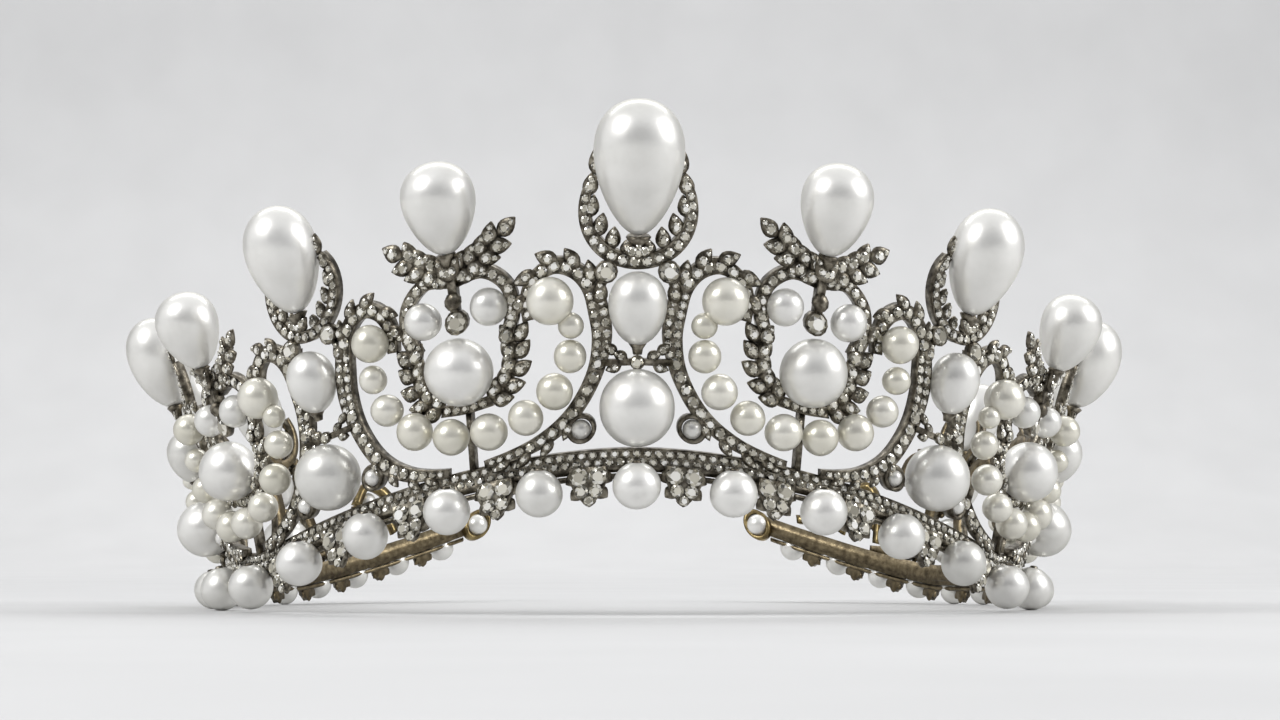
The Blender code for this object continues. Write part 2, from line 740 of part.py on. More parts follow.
def make_motif(row, hand, parts, workshop, cutters, metal, lustre):
    """One motif of the tiara with its own pearls, bent round the ring at its angle."""
    side = "left" if hand > 0 else "right"
    tag = row["name"] if row["angle"] == 0 else f"{row['name']}_{side}"
    angle = hand * row["angle"]
    near = eased(row["pearl"], PEARL_EASE)
    if row["kind"] == "column":
        pieces = column_pieces(row)
        stock = [
            ("top_pear", TOP_PEAR, row["pearl"], column_crest(row)),
            ("drop_pearl", DROP, near, drop_height(row)),
            ("great_pearl", GREAT_PEARL, near, great_height(row)),
        ]
    else:
        pieces = wreath_pieces(row)
        stock = [
            ("top_pear", WREATH_PEAR, row["pearl"], wreath_crest(row)),
            ("great_pearl", WREATH_PEARL, near, wreath_pearl_height(row)),
        ]
    pearls = [
        turned_pearl(f"{title}_{tag}", sizes, share, angle, height, lustre, parts)
        for title, sizes, share, height in stock
    ]
    name = f"{row['kind']}_{tag}"
    mesh = flat_union(pieces, name, workshop)
    bend(mesh, angle)
    motif = add_object(name, mesh, parts, metal)
    seat = motif.modifiers.new("pearl seats", "BOOLEAN")
    seat.operation = "DIFFERENCE"
    seat.solver = "EXACT"
    seat.object = seat_cutter(f"seats_{tag}", pearls, GAP, cutters)
    if row["kind"] == "wreath":
        make_swag(f"swag_{tag}", row, hand, parts, lustre)
    return motif


def make_heel(hand, parts, workshop, metal):
    """The low scrollwork that closes one end of the ring."""
    side = "left" if hand > 0 else "right"
    pieces = []
    for wire in HEEL_WIRES:
        points = [
            (hand * radians(angle - HEEL_MIDDLE) * flare(height), height)
            for angle, height in wire["route"]
        ]
        line = smooth_line(points, RIBBON_PITCH)
        pieces.append(plate(ribbon_outline(line, even(line, wire["width"])), wire["thickness"]))
    mesh = flat_union(pieces, f"heel_scroll_{side}", workshop)
    bend(mesh, hand * HEEL_MIDDLE)
    return add_object(f"heel_scroll_{side}", mesh, parts, metal)


def main():
    for old in list(bpy.data.objects):
        bpy.data.objects.remove(old)
    parts = bpy.data.collections.new("tiara")
    workshop = bpy.data.collections.new("workshop")
    cutters = bpy.data.collections.new("cutters")
    for group in (parts, workshop, cutters):
        bpy.context.scene.collection.children.link(group)
    metal = material("silver", SILVER)
    gilt = material("gold", GOLD)
    lustre = material("pearl", PEARL)
    make_rail(parts, metal)
    reach = range(-FRONT_PEARLS_A_SIDE, FRONT_PEARLS_A_SIDE + 1)
    front = [step * FRONT_PEARL_STEP for step in reach]
    make_fringe("fringe_front", front, STRIP_OVERHANG, parts, workshop, lustre)
    make_fringe("fringe_left", SIDE_FRINGE, STRIP_OVERHANG, parts, workshop, lustre)
    mirror = [-angle for angle in reversed(SIDE_FRINGE)]
    make_fringe("fringe_right", mirror, STRIP_OVERHANG, parts, workshop, lustre)
    for row in MOTIFS:
        for hand in ((1, -1) if row["angle"] else (1,)):
            make_motif(row, hand, parts, workshop, cutters, metal, lustre)
    for hand in (1, -1):
        make_heel(hand, parts, workshop, gilt)


main()
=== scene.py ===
from math import atan2, cos, degrees, pi, radians, sin, sqrt

import bpy
import numpy as np
from mathutils import Matrix, Vector


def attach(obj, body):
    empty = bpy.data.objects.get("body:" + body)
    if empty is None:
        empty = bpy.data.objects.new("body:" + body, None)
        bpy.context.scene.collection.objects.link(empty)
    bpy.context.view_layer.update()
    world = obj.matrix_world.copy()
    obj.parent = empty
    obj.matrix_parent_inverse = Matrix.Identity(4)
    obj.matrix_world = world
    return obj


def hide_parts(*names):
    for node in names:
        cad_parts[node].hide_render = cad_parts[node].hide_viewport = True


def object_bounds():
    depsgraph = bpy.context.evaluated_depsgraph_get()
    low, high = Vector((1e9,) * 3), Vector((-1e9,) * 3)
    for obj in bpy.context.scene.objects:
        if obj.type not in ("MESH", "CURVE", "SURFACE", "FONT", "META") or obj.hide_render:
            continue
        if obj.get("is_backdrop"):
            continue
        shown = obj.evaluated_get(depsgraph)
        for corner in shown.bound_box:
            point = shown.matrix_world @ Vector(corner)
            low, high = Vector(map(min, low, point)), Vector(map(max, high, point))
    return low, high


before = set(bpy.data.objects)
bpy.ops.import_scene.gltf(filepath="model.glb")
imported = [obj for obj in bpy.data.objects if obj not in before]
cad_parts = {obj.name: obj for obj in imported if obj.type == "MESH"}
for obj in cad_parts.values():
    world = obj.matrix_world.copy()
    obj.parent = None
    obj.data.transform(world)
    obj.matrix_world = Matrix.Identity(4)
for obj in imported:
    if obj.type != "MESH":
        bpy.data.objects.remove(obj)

cad_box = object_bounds()
MM = 0.001
chance = np.random.default_rng(7)

# The ring, in millimetres and degrees: the same layout that the solids have
RING_RADIUS = 77.0
FLARE_SLOPE = 0.13
FLARE_CURVE = 0.0024
AXIS_SHIFT = 15.1
ARCH_RISE = 17.9
ARCH_END = 61.0
ARCH_SHAPE = 1.75
ARCH_EASE = 1.3
REST_END = 118.0
HEEL_RISE = 12.0
HEEL_SHAPE = 1.5
RING_END = 156.5
GAP = 0.32
PEAR_GAP = 0.5

RAIL_LOW = 6.8
RAIL_HIGH = 10.0
RAIL_BACK = -2.1
RAIL_FRONT = -0.5
STRIP_HEIGHT = 5.4
FRINGE_TOP = 8.15
FRINGE_OFFSET = 3.1
FRINGE_RETREAT = 0.33
FRONT_PEARL_SIZE = 8.1
FRONT_PEARL_STEP = 11.75
FRONT_PEARLS_A_SIDE = 6
BACK_PEARL_SIZE = 5.7
SHRINK_START = 72.0
SHRINK_END = 105.0
FRINGE_WIRE = {"radius": 0.5, "sides": 8, "beyond": 3.2}
SIDE_FRINGE = [81.6, 91.4, 100.5, 109.1, 117.4, 125.7, 133.9, 142.1, 150.3]

RAIL_STEP = 0.8
RAIL_SKIRT = 6.0
RAIL_LIP = 0.3
RAIL_SECTION = [
    (RAIL_LOW, RAIL_BACK), (RAIL_HIGH, RAIL_BACK), (RAIL_HIGH, RAIL_FRONT + 0.1),
    (RAIL_HIGH - RAIL_LIP, RAIL_FRONT + 0.35), (RAIL_HIGH - RAIL_LIP * 1.7, RAIL_FRONT),
    (RAIL_LOW + RAIL_LIP * 1.7, RAIL_FRONT), (RAIL_LOW + RAIL_LIP, RAIL_FRONT + 0.35),
    (RAIL_SKIRT, RAIL_FRONT + 0.1), (RAIL_SKIRT, RAIL_FRONT - 0.5), (RAIL_LOW, RAIL_FRONT - 0.6),
]
RAIL_STONE = 1.5
RAIL_STONE_PITCH = 1.85
RAIL_STONE_ROWS = [(0.0, 9.1), (RAIL_STONE_PITCH / 2, 7.65)]

# Palmettes. Columns: a stone's side, height and size; a leaf's side, height, turn and length;
# the plate's height and width
PALMETTE_TOP = 7.0
PALMETTE_STONES = [(1.58, 5.85, 3.1), (1.18, 3.35, 2.3), (0.0, 1.7, 1.7)]
PALMETTE_LEAVES = [(1.9, 5.9, 120, 2.4), (1.4, 3.5, 132, 2.3), (0.0, 2.3, 180, 1.8)]
PALMETTE_LEAF = {"width": 2.4, "thickness": 0.7, "offset": 0.3}
PALMETTE_STONE_OFFSET = 1.6
PALMETTE_PLATE = [(7.4, 6.2), (5.4, 6.6), (4.2, 5.6), (3.0, 4.6), (1.9, 2.8), (0.9, 1.0)]
PALMETTE_BACK = 0.2
PALMETTE_FRONT = 1.65

# The bands set with stones: a row of them, or two rows where a band is wide
SCROLL_WIDTH = 2.7
SCROLL_THICKNESS = 1.7
SCROLL_BACK = -SCROLL_THICKNESS / 2
SCROLL_FRONT = SCROLL_THICKNESS / 2
LOW_FRONT = 0.7
SCROLL_SINK = 0.3
BAND_PITCH = 0.7
WIRE_PITCH = 0.8
BAND_LIP = 0.28
STONE_GAP = 0.22
STONE_FILL = 0.74
STONE_SINK = 0.12
FIRST_STONE = 0.6
END_MARGIN = 0.6
TWO_ROWS = 3.1
TWO_ROW_FILL = 0.43
TWO_ROW_SHIFT = 0.235
COLLET_RIM = 1.16

# The pearls and what holds them. A cup is given by its radius
MOTIF_FOOT = RAIL_HIGH + GAP
PEARL_TONES = (0.25, 0.85)
PEARL_UNEVENNESS = 0.012
# Sides and rings of a pearl's form
TOP_DETAIL = (56, 40)
WREATH_TOP_DETAIL = (48, 36)
GREAT_DETAIL = (48, 32)
DROP_DETAIL = (40, 26)
FRINGE_DETAIL = (36, 24)
ROUND_DETAIL = (32, 22)
HEEL_DETAIL = (28, 20)
SMALL_DETAIL = (20, 14)
PEARL_OFFSET = 2.4
SWAG_OFFSET = 3.2
TOP_PEAR = {"width": 15.1, "length": 22.8, "taper": 0.3, "cup": 2.1}
SIDE_TAPER = 0.19
DROP = {"width": 9.9, "length": 12.3, "share": 0.58, "taper": 0.12, "cup": 1.5}
GREAT_PEARL = {"width": 13.0, "length": 13.0, "taper": 0.0}
WREATH_PEAR = {"width": 12.4, "length": 15.8, "taper": 0.22, "cup": 1.7}
WREATH_PEARL = {
    "width": 11.0, "length": 11.0, "lift": 0.6, "taper": 0.0, "growth": 1.06, "raise": 0.3,
}
PAIR_PEARL = {"size": 6.2, "growth": 1.04, "side": 5.9, "height": 36.4, "offset": 1.4}
CRESCENT = {"radius": 8.5, "end": 34.0, "width": 3.6, "tip": 1.8, "fullness": 0.6}
CRESCENT_BAND = {"share": 0.68, "shift": 0.16, "least": 1.1, "thickness": 1.9, "steps": 16}
CUP_HEIGHT = 1.2
SOLDER = 0.6
COLLET = {"size": 3.9, "side": 5.2, "height": 39.6, "offset": 1.5}
COLLET_FOOT = {"side": 7.4, "height": 34.6, "width": 1.8}
VOLUTE = {"size": 5.0, "side": 9.3, "lift": 1.0, "level": 14.0, "rim": 0.85, "pearl_offset": 0.6}
VOLUTE_SIDES = 24
VOLUTE_RIM = [(0.0, -1.0), (0.0, 0.9), (-0.35, 1.1), (-0.75, 0.9), (-0.8, -1.0)]
GREAT_LIFT = 0.3
BAR = {"width": 1.3, "side": 6.0, "lift": 1.0}
BAR_BAND = {"width": 1.1, "back": 0.2, "front": 1.4, "stone": 2.5, "stone_offset": 1.8}
CENTRE_STONE = {"size": 4.2, "height": 34.9, "offset": 1.5}
STEM = {"widths": [1.3, 1.5], "back": -0.05, "front": 1.9}
POST = {"widths": [1.0, 1.0], "back": -1.9, "front": -0.1, "top": 20.8, "sink": 0.4}
BOW_HEIGHT = 42.9
STEM_RISE = 2.5
STEM_KNOB = {"size": 1.5, "offset": 1.7}
PEARL_EASE = 0.7
COLLET_EASE = 0.6
VOLUTE_EASE = 0.5

MOTIFS = [
    {"name": "0", "kind": "column", "angle": 0.0, "rise": 1.0, "span": 1.0, "pearl": 1.0},
    {"name": "1", "kind": "wreath", "angle": 20.8, "rise": 1.0, "span": 1.0, "pearl": 1.0},
    {"name": "2", "kind": "column", "angle": 40.5, "rise": 1.0, "span": 0.88, "pearl": 0.84},
    {"name": "3", "kind": "wreath", "angle": 60.3, "rise": 0.96, "span": 0.98, "pearl": 0.91},
    {"name": "4", "kind": "column", "angle": 80.2, "rise": 0.89, "span": 0.88, "pearl": 0.77},
    {"name": "5", "kind": "wreath", "angle": 100.0, "rise": 0.84, "span": 0.94, "pearl": 0.82},
    {"name": "6", "kind": "column", "angle": 119.6, "rise": 0.78, "span": 0.8, "pearl": 0.68},
]
# Lines of the motifs, by side and height. The scroll's have a share of its full width too
COLUMN_SCROLL = [
    (18.3, 32.8, 0.7), (18.6, 36.8, 0.85), (17.0, 39.8, 0.95), (13.8, 41.2, 1.0),
    (10.4, 40.0, 1.0), (7.9, 37.2, 1.1), (6.5, 33.2, 1.3), (5.9, 28.6, 1.25),
    (6.9, 23.4, 1.05), (9.4, 18.4, 1.0), (12.7, 14.7, 1.0), (17.2, 12.1, 0.9), (21.8, 10.9, 0.7),
    (26.0, 10.4, 0.5),
]
WREATH_ARC = [(0.0, 41.5), (5.2, 42.2), (9.0, 39.3), (9.6, 34.9), (8.2, 31.0)]
LAUREL = [(0.0, 20.4), (4.6, 20.8), (8.0, 23.6), (9.2, 27.6), (9.4, 32.4)]
BOW_LEAF = [(0.0, 42.9), (4.3, 44.3), (8.7, 47.4)]
WREATH_ARC_WIDTH = 2.3
LAUREL_BAND_WIDTH = 1.9
ARC_END_STONE = 2.6

# Leaves. A stone on one has its share of the length, and its size as a share of the width
LEAF_ROWS = 7
LEAF_COLUMNS = 5
LEAF_THICKNESS = 0.75
LEAF_STONES = [(0.42, 0.62), (0.76, 0.341)]
LEAF_STONE_OFFSET = 0.68
BRANCH_STEM = 0.9
BRANCH_SPREAD = 38.0
LAUREL_LEAVES = {"length": 4.0, "width": 2.8, "pitch": 2.6, "offset": 0.2}
BOW_LEAVES = {"length": 4.2, "width": 2.9, "pitch": 2.7, "offset": 0.6}
# On a band: share of the way along it, turn from it and shift across it
ARCH_LEAVES = {
    "length": 4.4, "width": 2.6,
    "spots": [
        (0.08, 164, -0.5), (0.14, 162, -0.5), (0.2, 160, -0.5), (0.26, 160, -0.5),
        (0.32, 162, -0.5), (0.38, 166, -0.5),
    ],
}
TAIL_LEAVES = {
    "length": 3.6, "width": 2.0,
    "spots": [(0.72, 20, -0.7), (0.79, 24, -0.8), (0.86, 24, -0.8), (0.92, 16, -0.6)],
}
BAND_LEAF_OFFSET = 0.55
# At the bar: side, lift and turn
BAR_LEAVES = {
    "length": 2.8, "width": 1.9, "offset": 0.7,
    "spots": [(1.6, 0.4, 62), (3.4, 1.3, 48), (2.6, -0.6, 104)],
}
# Round the crescent: angle, turn and length
CRESCENT_LEAVES = {
    "width": 2.7, "inset": 0.2, "offset": 0.25,
    "spots": [
        (36, 8, 4.4), (12, -6, 3.8), (-12, -12, 3.8), (-36, -14, 4.0), (-58, -8, 3.8),
        (-78, -2, 2.8),
    ],
}
# Under a column's top pearl: turn and lift
CUP_LEAVES = {
    "length": 2.9, "width": 2.4, "drop": 2.6, "offset": 3.0,
    "spots": [(-58, 0.2), (58, 0.2), (0, -0.6)],
}
# At the head of a wreath's stem: turn and length
STEM_LEAVES = {
    "width": 2.3, "drop": 3.6, "offset": 2.2, "spots": [(-24, 4.6), (24, 4.6), (0, 3.6)],
}

SWAG = [
    {"angle": -11.2, "height": 36.0, "size": 8.0},
    {"angle": -13.4, "height": 31.6, "size": 4.4},
    {"angle": -13.2, "height": 26.5, "size": 5.6},
    {"angle": -11.3, "height": 20.9, "size": 6.2},
    {"angle": -7.8, "height": 17.2, "size": 6.0},
    {"angle": -3.3, "height": 15.9, "size": 6.4},
    {"angle": 1.4, "height": 16.4, "size": 6.3},
    {"angle": 6.0, "height": 18.9, "size": 6.4},
    {"angle": 9.3, "height": 23.8, "size": 5.6},
    {"angle": 10.6, "height": 29.6, "size": 4.9},
    {"angle": 10.3, "height": 35.6, "size": 6.5},
]
HEEL_MIDDLE = 139.0
HEEL_WIRES = [
    {
        "width": 1.8, "thickness": 1.7,
        "route": [
            (134.3, 20.0), (136.6, 23.5), (139.6, 21.5), (141.8, 17.0), (144.4, 13.6),
            (149.0, 11.8),
        ],
    },
    {"width": 1.8, "thickness": 1.5, "route": [(133.8, 11.8), (134.0, 16.0), (134.3, 20.0)]},
    {
        "width": 1.5, "thickness": 1.3,
        "route": [(134.0, 14.5), (137.0, 16.8), (140.0, 14.8), (141.0, 11.8)],
    },
]
# Angle, height and size
HEEL_PEARLS = [(137.4, 20.2, 4.2), (143.6, 17.2, 3.6)]
HEEL_PEARL_OFFSET = 1.5
END_PEARL = {"size": 4.9, "angle": 155.2, "height": 7.4, "offset": -2.9}
END_SIDES = 28
END_RIM = [(0.75, -1.0), (0.8, 0.9), (0.4, 1.2), (-0.05, 0.9), (-0.1, -1.0)]
SIDES = {"left": 1, "right": -1}

# The camera in millimetres and degrees, and the studio round it in metres and watts
CAMERA_DISTANCE = 520.0
CAMERA_YAW = 1.42
CAMERA_HEIGHT = 10.0
AIM = (3.0, 15.1, 49.2)
LENS = 73.5
SENSOR = 36.0
BACKDROP = {"half": 4.0, "front": 1.6, "back": 1.2, "wall": 2.2, "bend": 0.45, "steps": 12}
LIGHTS = [
    {
        "name": "softbox_left", "spot": (-0.6, -0.45, 0.6), "size": (0.35, 0.4), "watts": 4.6,
        "target": (0.0, 0.0, 0.04),
    },
    {
        "name": "softbox_right", "spot": (0.75, -0.25, 0.45), "size": (0.45, 0.5), "watts": 4.2,
        "target": (0.0, 0.0, 0.04),
    },
    {
        "name": "backdrop_wash", "spot": (0.0, 1.0, 1.5), "size": (2.4, 0.7), "watts": 23.0,
        "target": (0.0, 1.6, 0.35),
    },
]
ROOM_STRENGTH = 0.82
ROOM_DARK_WAY = (0.0, -0.97, -0.1)


def flare(height):
    """Radius of the ring's surface at a height over its lower edge."""
    return RING_RADIUS + FLARE_SLOPE * height + FLARE_CURVE * height * height


def lean(height):
    """How far the surface leans out from upright, in radians."""
    return np.arctan(FLARE_SLOPE + 2 * FLARE_CURVE * height)


def fringe_size(angle):
    share = np.clip((np.abs(angle) - SHRINK_START) / (SHRINK_END - SHRINK_START), 0.0, 1.0)
    return FRONT_PEARL_SIZE + (BACK_PEARL_SIZE - FRONT_PEARL_SIZE) * share


def fringe_offset(size):
    return FRINGE_OFFSET - (FRONT_PEARL_SIZE - size) * FRINGE_RETREAT


def lower_edge(angle):
    """Height of the ring's lower edge: an arch over the brow, level sides and a raised heel."""
    turn = np.abs(angle)
    size = fringe_size(angle)
    sink = size - FRINGE_TOP + fringe_offset(size) * np.sin(lean(FRINGE_TOP - size / 2))
    arch = (1 - np.minimum(turn / ARCH_END, 1.0) ** ARCH_SHAPE) ** ARCH_EASE
    heel = (np.maximum(turn - REST_END, 0.0) / (RING_END - REST_END)) ** HEEL_SHAPE
    return sink + ARCH_RISE * arch + HEEL_RISE * heel


def place(angle, height, offset=0.0):
    """Points of the ring in metres, from angles, heights and offsets out of its surface."""
    tilt = lean(height)
    radius = flare(height) + offset * np.cos(tilt)
    turn = np.radians(angle)
    z = lower_edge(angle) + height - offset * np.sin(tilt)
    spots = [radius * np.sin(turn), AXIS_SHIFT - radius * np.cos(turn), z]
    return np.stack(np.broadcast_arrays(*spots), axis=-1) * MM


def bent(angle):
    """The way a flat pattern (side, minus offset, height) wraps round the ring at an angle."""
    def shape(points):
        side, offset, height = points[:, 0], -points[:, 1], points[:, 2]
        return place(angle + np.degrees(side / flare(height)), height, offset)
    return shape


def standing(angle, height, offset):
    """The way a rigid piece stands on the ring: X along it, -Y outwards and Z up the flare."""
    turn = Matrix.Rotation(radians(angle), 3, "Z") @ Matrix.Rotation(float(lean(height)), 3, "X")
    grid = np.array(turn)
    start = place(angle, height, offset)

    def shape(points):
        return points @ grid.T * MM + start
    return shape


# Materials

def linear(colour):
    """A linear RGBA colour from an sRGB hex one."""
    parts = [int(colour[i:i + 2], 16) / 255 for i in (1, 3, 5)]
    flat = [c / 12.92 if c <= 0.04045 else ((c + 0.055) / 1.055) ** 2.4 for c in parts]
    return (*flat, 1.0)


def add_node(tree, kind, links=(), **settings):
    """Adds a node, sets its properties and sockets and links its inputs."""
    node = tree.nodes.new(kind)
    for key, value in settings.items():
        if hasattr(node, key):
            setattr(node, key, value)
        else:
            node.inputs[key.replace("_", " ")].default_value = value
    for socket, source in links:
        tree.links.new(source, node.inputs[socket])
    return node


def start_material(name, **settings):
    """A new material and its Principled shader with the given socket values."""
    made = bpy.data.materials.new(name)
    made.use_nodes = True
    shader = made.node_tree.nodes["Principled BSDF"]
    for key, value in settings.items():
        shader.inputs[key.replace("_", " ")].default_value = value
    return made, made.node_tree, shader


def add_ramp(tree, source, stops):
    """The colour that a value gives by a ramp of positions and sRGB hex colours."""
    node = add_node(tree, "ShaderNodeValToRGB", [("Fac", source)])
    ramp = node.color_ramp
    while len(ramp.elements) < len(stops):
        ramp.elements.new(0.5)
    for element, (position, colour) in zip(ramp.elements, stops):
        element.position = position
        element.color = linear(colour)
    return node.outputs["Color"]


def add_noise(tree, mark, detail):
    """Noise whose marks are about this many millimetres across."""
    ways = add_node(tree, "ShaderNodeTexCoord")
    node = add_node(
        tree, "ShaderNodeTexNoise", [("Vector", ways.outputs["Object"])],
        Scale=1.0 / (mark * MM), Detail=detail)
    return node.outputs["Fac"]


def add_relief(tree, shader, mark, strength, depth):
    """Bumps on a surface, their marks and their depth in millimetres."""
    relief = add_node(
        tree, "ShaderNodeBump", [("Height", add_noise(tree, mark, 2.0))],
        Strength=strength, Distance=depth * MM)
    tree.links.new(relief.outputs["Normal"], shader.inputs["Normal"])


def nacre_material(name, stops, roughness, rim):
    """Natural pearl: layers of nacre, so a soft deep gloss that darkens to its rim colour."""
    made, tree, shader = start_material(
        name, Roughness=roughness, IOR=1.66, Metallic=0.5, Specular_Tint=linear(rim),
        Coat_Weight=0.45, Coat_Roughness=0.17, Coat_IOR=1.5)
    tone_and_glint = add_node(tree, "ShaderNodeAttribute", attribute_name="tone_and_glint")
    mixed = add_node(
        tree, "ShaderNodeMath", [(0, tone_and_glint.outputs["Fac"]), (1, add_noise(tree, 5.0, 3.0))],
        operation="ADD")
    halved = add_node(tree, "ShaderNodeMath", [(0, mixed.outputs["Value"])], operation="MULTIPLY")
    halved.inputs[1].default_value = 0.5
    body = add_ramp(tree, halved.outputs["Value"], stops)
    tree.links.new(body, shader.inputs["Base Color"])
    add_relief(tree, shader, mark=1.6, strength=0.05, depth=0.3)
    return made


def silver_topped_gold_material():
    """Silver soldered on gold, tarnished dark in its hollows; the gold back faces the head."""
    made, tree, shader = start_material("tarnished_silver_on_gold", Metallic=1.0, Roughness=0.36)
    tarnish = add_noise(tree, 1.3, 4.0)
    silver = add_ramp(tree, tarnish, [(0.32, "#37332c"), (0.5, "#6a6459"), (0.7, "#a09a8c")])
    gold = add_ramp(tree, tarnish, [(0.3, "#544a39"), (0.65, "#8a7d63")])
    ways = add_node(tree, "ShaderNodeTexCoord")
    shape = add_node(tree, "ShaderNodeNewGeometry")
    outward = add_node(
        tree, "ShaderNodeVectorMath", [(0, ways.outputs["Object"])], operation="SUBTRACT")
    outward.inputs[1].default_value = (0.0, AXIS_SHIFT * MM, 0.0)
    flat = add_node(
        tree, "ShaderNodeVectorMath", [(0, outward.outputs["Vector"])], operation="MULTIPLY")
    flat.inputs[1].default_value = (1.0, 1.0, 0.0)
    unit = add_node(
        tree, "ShaderNodeVectorMath", [(0, flat.outputs["Vector"])], operation="NORMALIZE")
    facing = add_node(
        tree, "ShaderNodeVectorMath",
        [(0, unit.outputs["Vector"]), (1, shape.outputs["True Normal"])],
        operation="DOT_PRODUCT")
    back = add_node(
        tree, "ShaderNodeMapRange", [("Value", facing.outputs["Value"])],
        From_Min=-0.4, From_Max=-0.75)
    colour = add_node(
        tree, "ShaderNodeMix", [(0, back.outputs["Result"]), (6, silver), (7, gold)],
        data_type="RGBA")
    tree.links.new(colour.outputs[2], shader.inputs["Base Color"])
    wear = add_node(tree, "ShaderNodeMapRange", [("Value", tarnish)], To_Min=0.5, To_Max=0.26)
    tree.links.new(wear.outputs["Result"], shader.inputs["Roughness"])
    add_relief(tree, shader, mark=0.35, strength=0.35, depth=0.2)
    return made


def yellow_gold_material():
    """Drawn gold wire, softly polished: warm, with darker worn patches."""
    made, tree, shader = start_material("drawn_yellow_gold", Metallic=1.0, Roughness=0.3)
    colour = add_ramp(
        tree, add_noise(tree, 2.0, 4.0), [(0.3, "#574b37"), (0.5, "#80714f"), (0.72, "#ad9b70")])
    tree.links.new(colour, shader.inputs["Base Color"])
    return made


def diamond_material():
    """Old-cut diamond: hard bright facets, their base colours painted light or dark to stand for
    the reflections they would show.
    """
    made, tree, shader = start_material("old_cut_diamond", Metallic=0.45, Roughness=0.05, IOR=2.42)
    tone_and_glint = add_node(tree, "ShaderNodeAttribute", attribute_name="tone_and_glint")
    # Painted reflections: the facets' base colours, near black to near white, stand in for the
    # light and dark they would reflect.
    painted_reflection = add_ramp(
        tree, tone_and_glint.outputs["Fac"],
        [(0.0, "#2c2a23"), (0.4, "#8d8878"), (0.7, "#d6d1c1"), (1.0, "#fffefa")])
    tree.links.new(painted_reflection, shader.inputs["Base Color"])
    return made


def paper_material():
    """Seamless studio paper: matte and pale, with no texture that shows."""
    made, tree, shader = start_material("matte_studio_paper", Roughness=0.9)
    colour = add_ramp(tree, add_noise(tree, 60.0, 2.0), [(0.3, "#c3c3c3"), (0.7, "#c7c7c7")])
    tree.links.new(colour, shader.inputs["Base Color"])
    return made


WHITE_NACRE = nacre_material(
    "white_pearl_nacre", [(0.2, "#d3d2cd"), (0.5, "#e7e6e2"), (0.8, "#f5f4f1")], 0.33, "#7f7a5e")
CREAM_NACRE = nacre_material(
    "cream_pearl_nacre", [(0.2, "#d3d0c1"), (0.5, "#e4e1d5"), (0.8, "#f0eee6")], 0.3, "#6b6334")
SILVER = silver_topped_gold_material()
GOLD = yellow_gold_material()
DIAMOND = diamond_material()


# Forms: arrays of points in millimetres and lists of faces

def turned(profile, sides):
    """A closed form turned round Z from radius and height pairs that start and end on the axis."""
    rings = profile[1:-1]
    turns = np.arange(sides) * 2 * pi / sides
    points = [(0.0, 0.0, profile[0][1])]
    for radius, height in rings:
        points += [(radius * cos(t), radius * sin(t), height) for t in turns]
    points.append((0.0, 0.0, profile[-1][1]))
    faces = []
    for k in range(sides):
        after = (k + 1) % sides
        faces.append((0, 1 + after, 1 + k))
        for row in range(len(rings) - 1):
            low = 1 + row * sides
            high = low + sides
            faces.append((low + k, low + after, high + after, high + k))
        last = 1 + (len(rings) - 1) * sides
        faces.append((len(points) - 1, last + k, last + after))
    return np.array(points), faces


def hoop(profile, sides):
    """A closed ring turned round Z from a loop of radius and height pairs."""
    count = len(profile)
    points = []
    faces = []
    for k in range(sides):
        turn = k * 2 * pi / sides
        points += [(r * cos(turn), r * sin(turn), z) for r, z in profile]
        here = k * count
        there = (k + 1) % sides * count
        for i in range(count):
            j = (i + 1) % count
            faces.append((here + i, there + i, there + j, here + j))
    return np.array(points), faces


def pearl_profile(taper, rings):
    """Radius and height of a pearl of size one, its narrow end down."""
    turns = [pi * step / rings for step in range(rings + 1)]
    radii = [sin(t) * (1 - taper * cos(t)) for t in turns]
    largest = max(radii)
    return [(r / largest / 2, -cos(t) / 2) for r, t in zip(radii, turns)]


def pearl_form(width, length, taper, sides, rings):
    """A natural pearl: turned, then pressed a little out of round."""
    points, faces = turned(pearl_profile(taper, rings), sides)
    points = points * (width, width, length)
    lean_one, lean_two, phase = chance.uniform(0, 2 * pi, 3)
    around = np.arctan2(points[:, 1], points[:, 0])
    rise = points[:, 2] / length * 2
    swell = np.sin(2 * around + lean_one) * (1 - rise ** 2) + np.sin(3 * rise + lean_two + phase)
    points = points * (1 + PEARL_UNEVENNESS * swell)[:, None]
    return points, faces


def table_out(form):
    """Turns a form's Z axis outwards from the ring."""
    points, faces = form
    return np.stack([points[:, 0], -points[:, 2], points[:, 1]], axis=-1), faces


def brilliant_form():
    """A cut stone of girdle radius one: an eight-sided table, 32 crown facets and a pavilion."""
    points = []
    for k in range(8):
        points.append((0.56 * cos(k * pi / 4), 0.56 * sin(k * pi / 4), 0.38))
    for k in range(8):
        turn = (k + 0.5) * pi / 4
        points.append((0.82 * cos(turn), 0.82 * sin(turn), 0.24))
    for k in range(16):
        points.append((cos(k * pi / 8), sin(k * pi / 8), 0.0))
    points.append((0.0, 0.0, -0.6))
    faces = [tuple(range(8))]
    for k in range(8):
        after = (k + 1) % 8
        girdle = 16 + 2 * k
        beyond = 16 + (2 * k + 2) % 16
        faces.append((k, 8 + k, after))
        faces.append((k, 8 + (k - 1) % 8, girdle, 8 + k))
        faces.append((girdle, girdle + 1, 8 + k))
        faces.append((girdle + 1, beyond, 8 + k))
    for k in range(16):
        faces.append((16 + (k + 1) % 16, 16 + k, 32))
    return np.array(points), faces


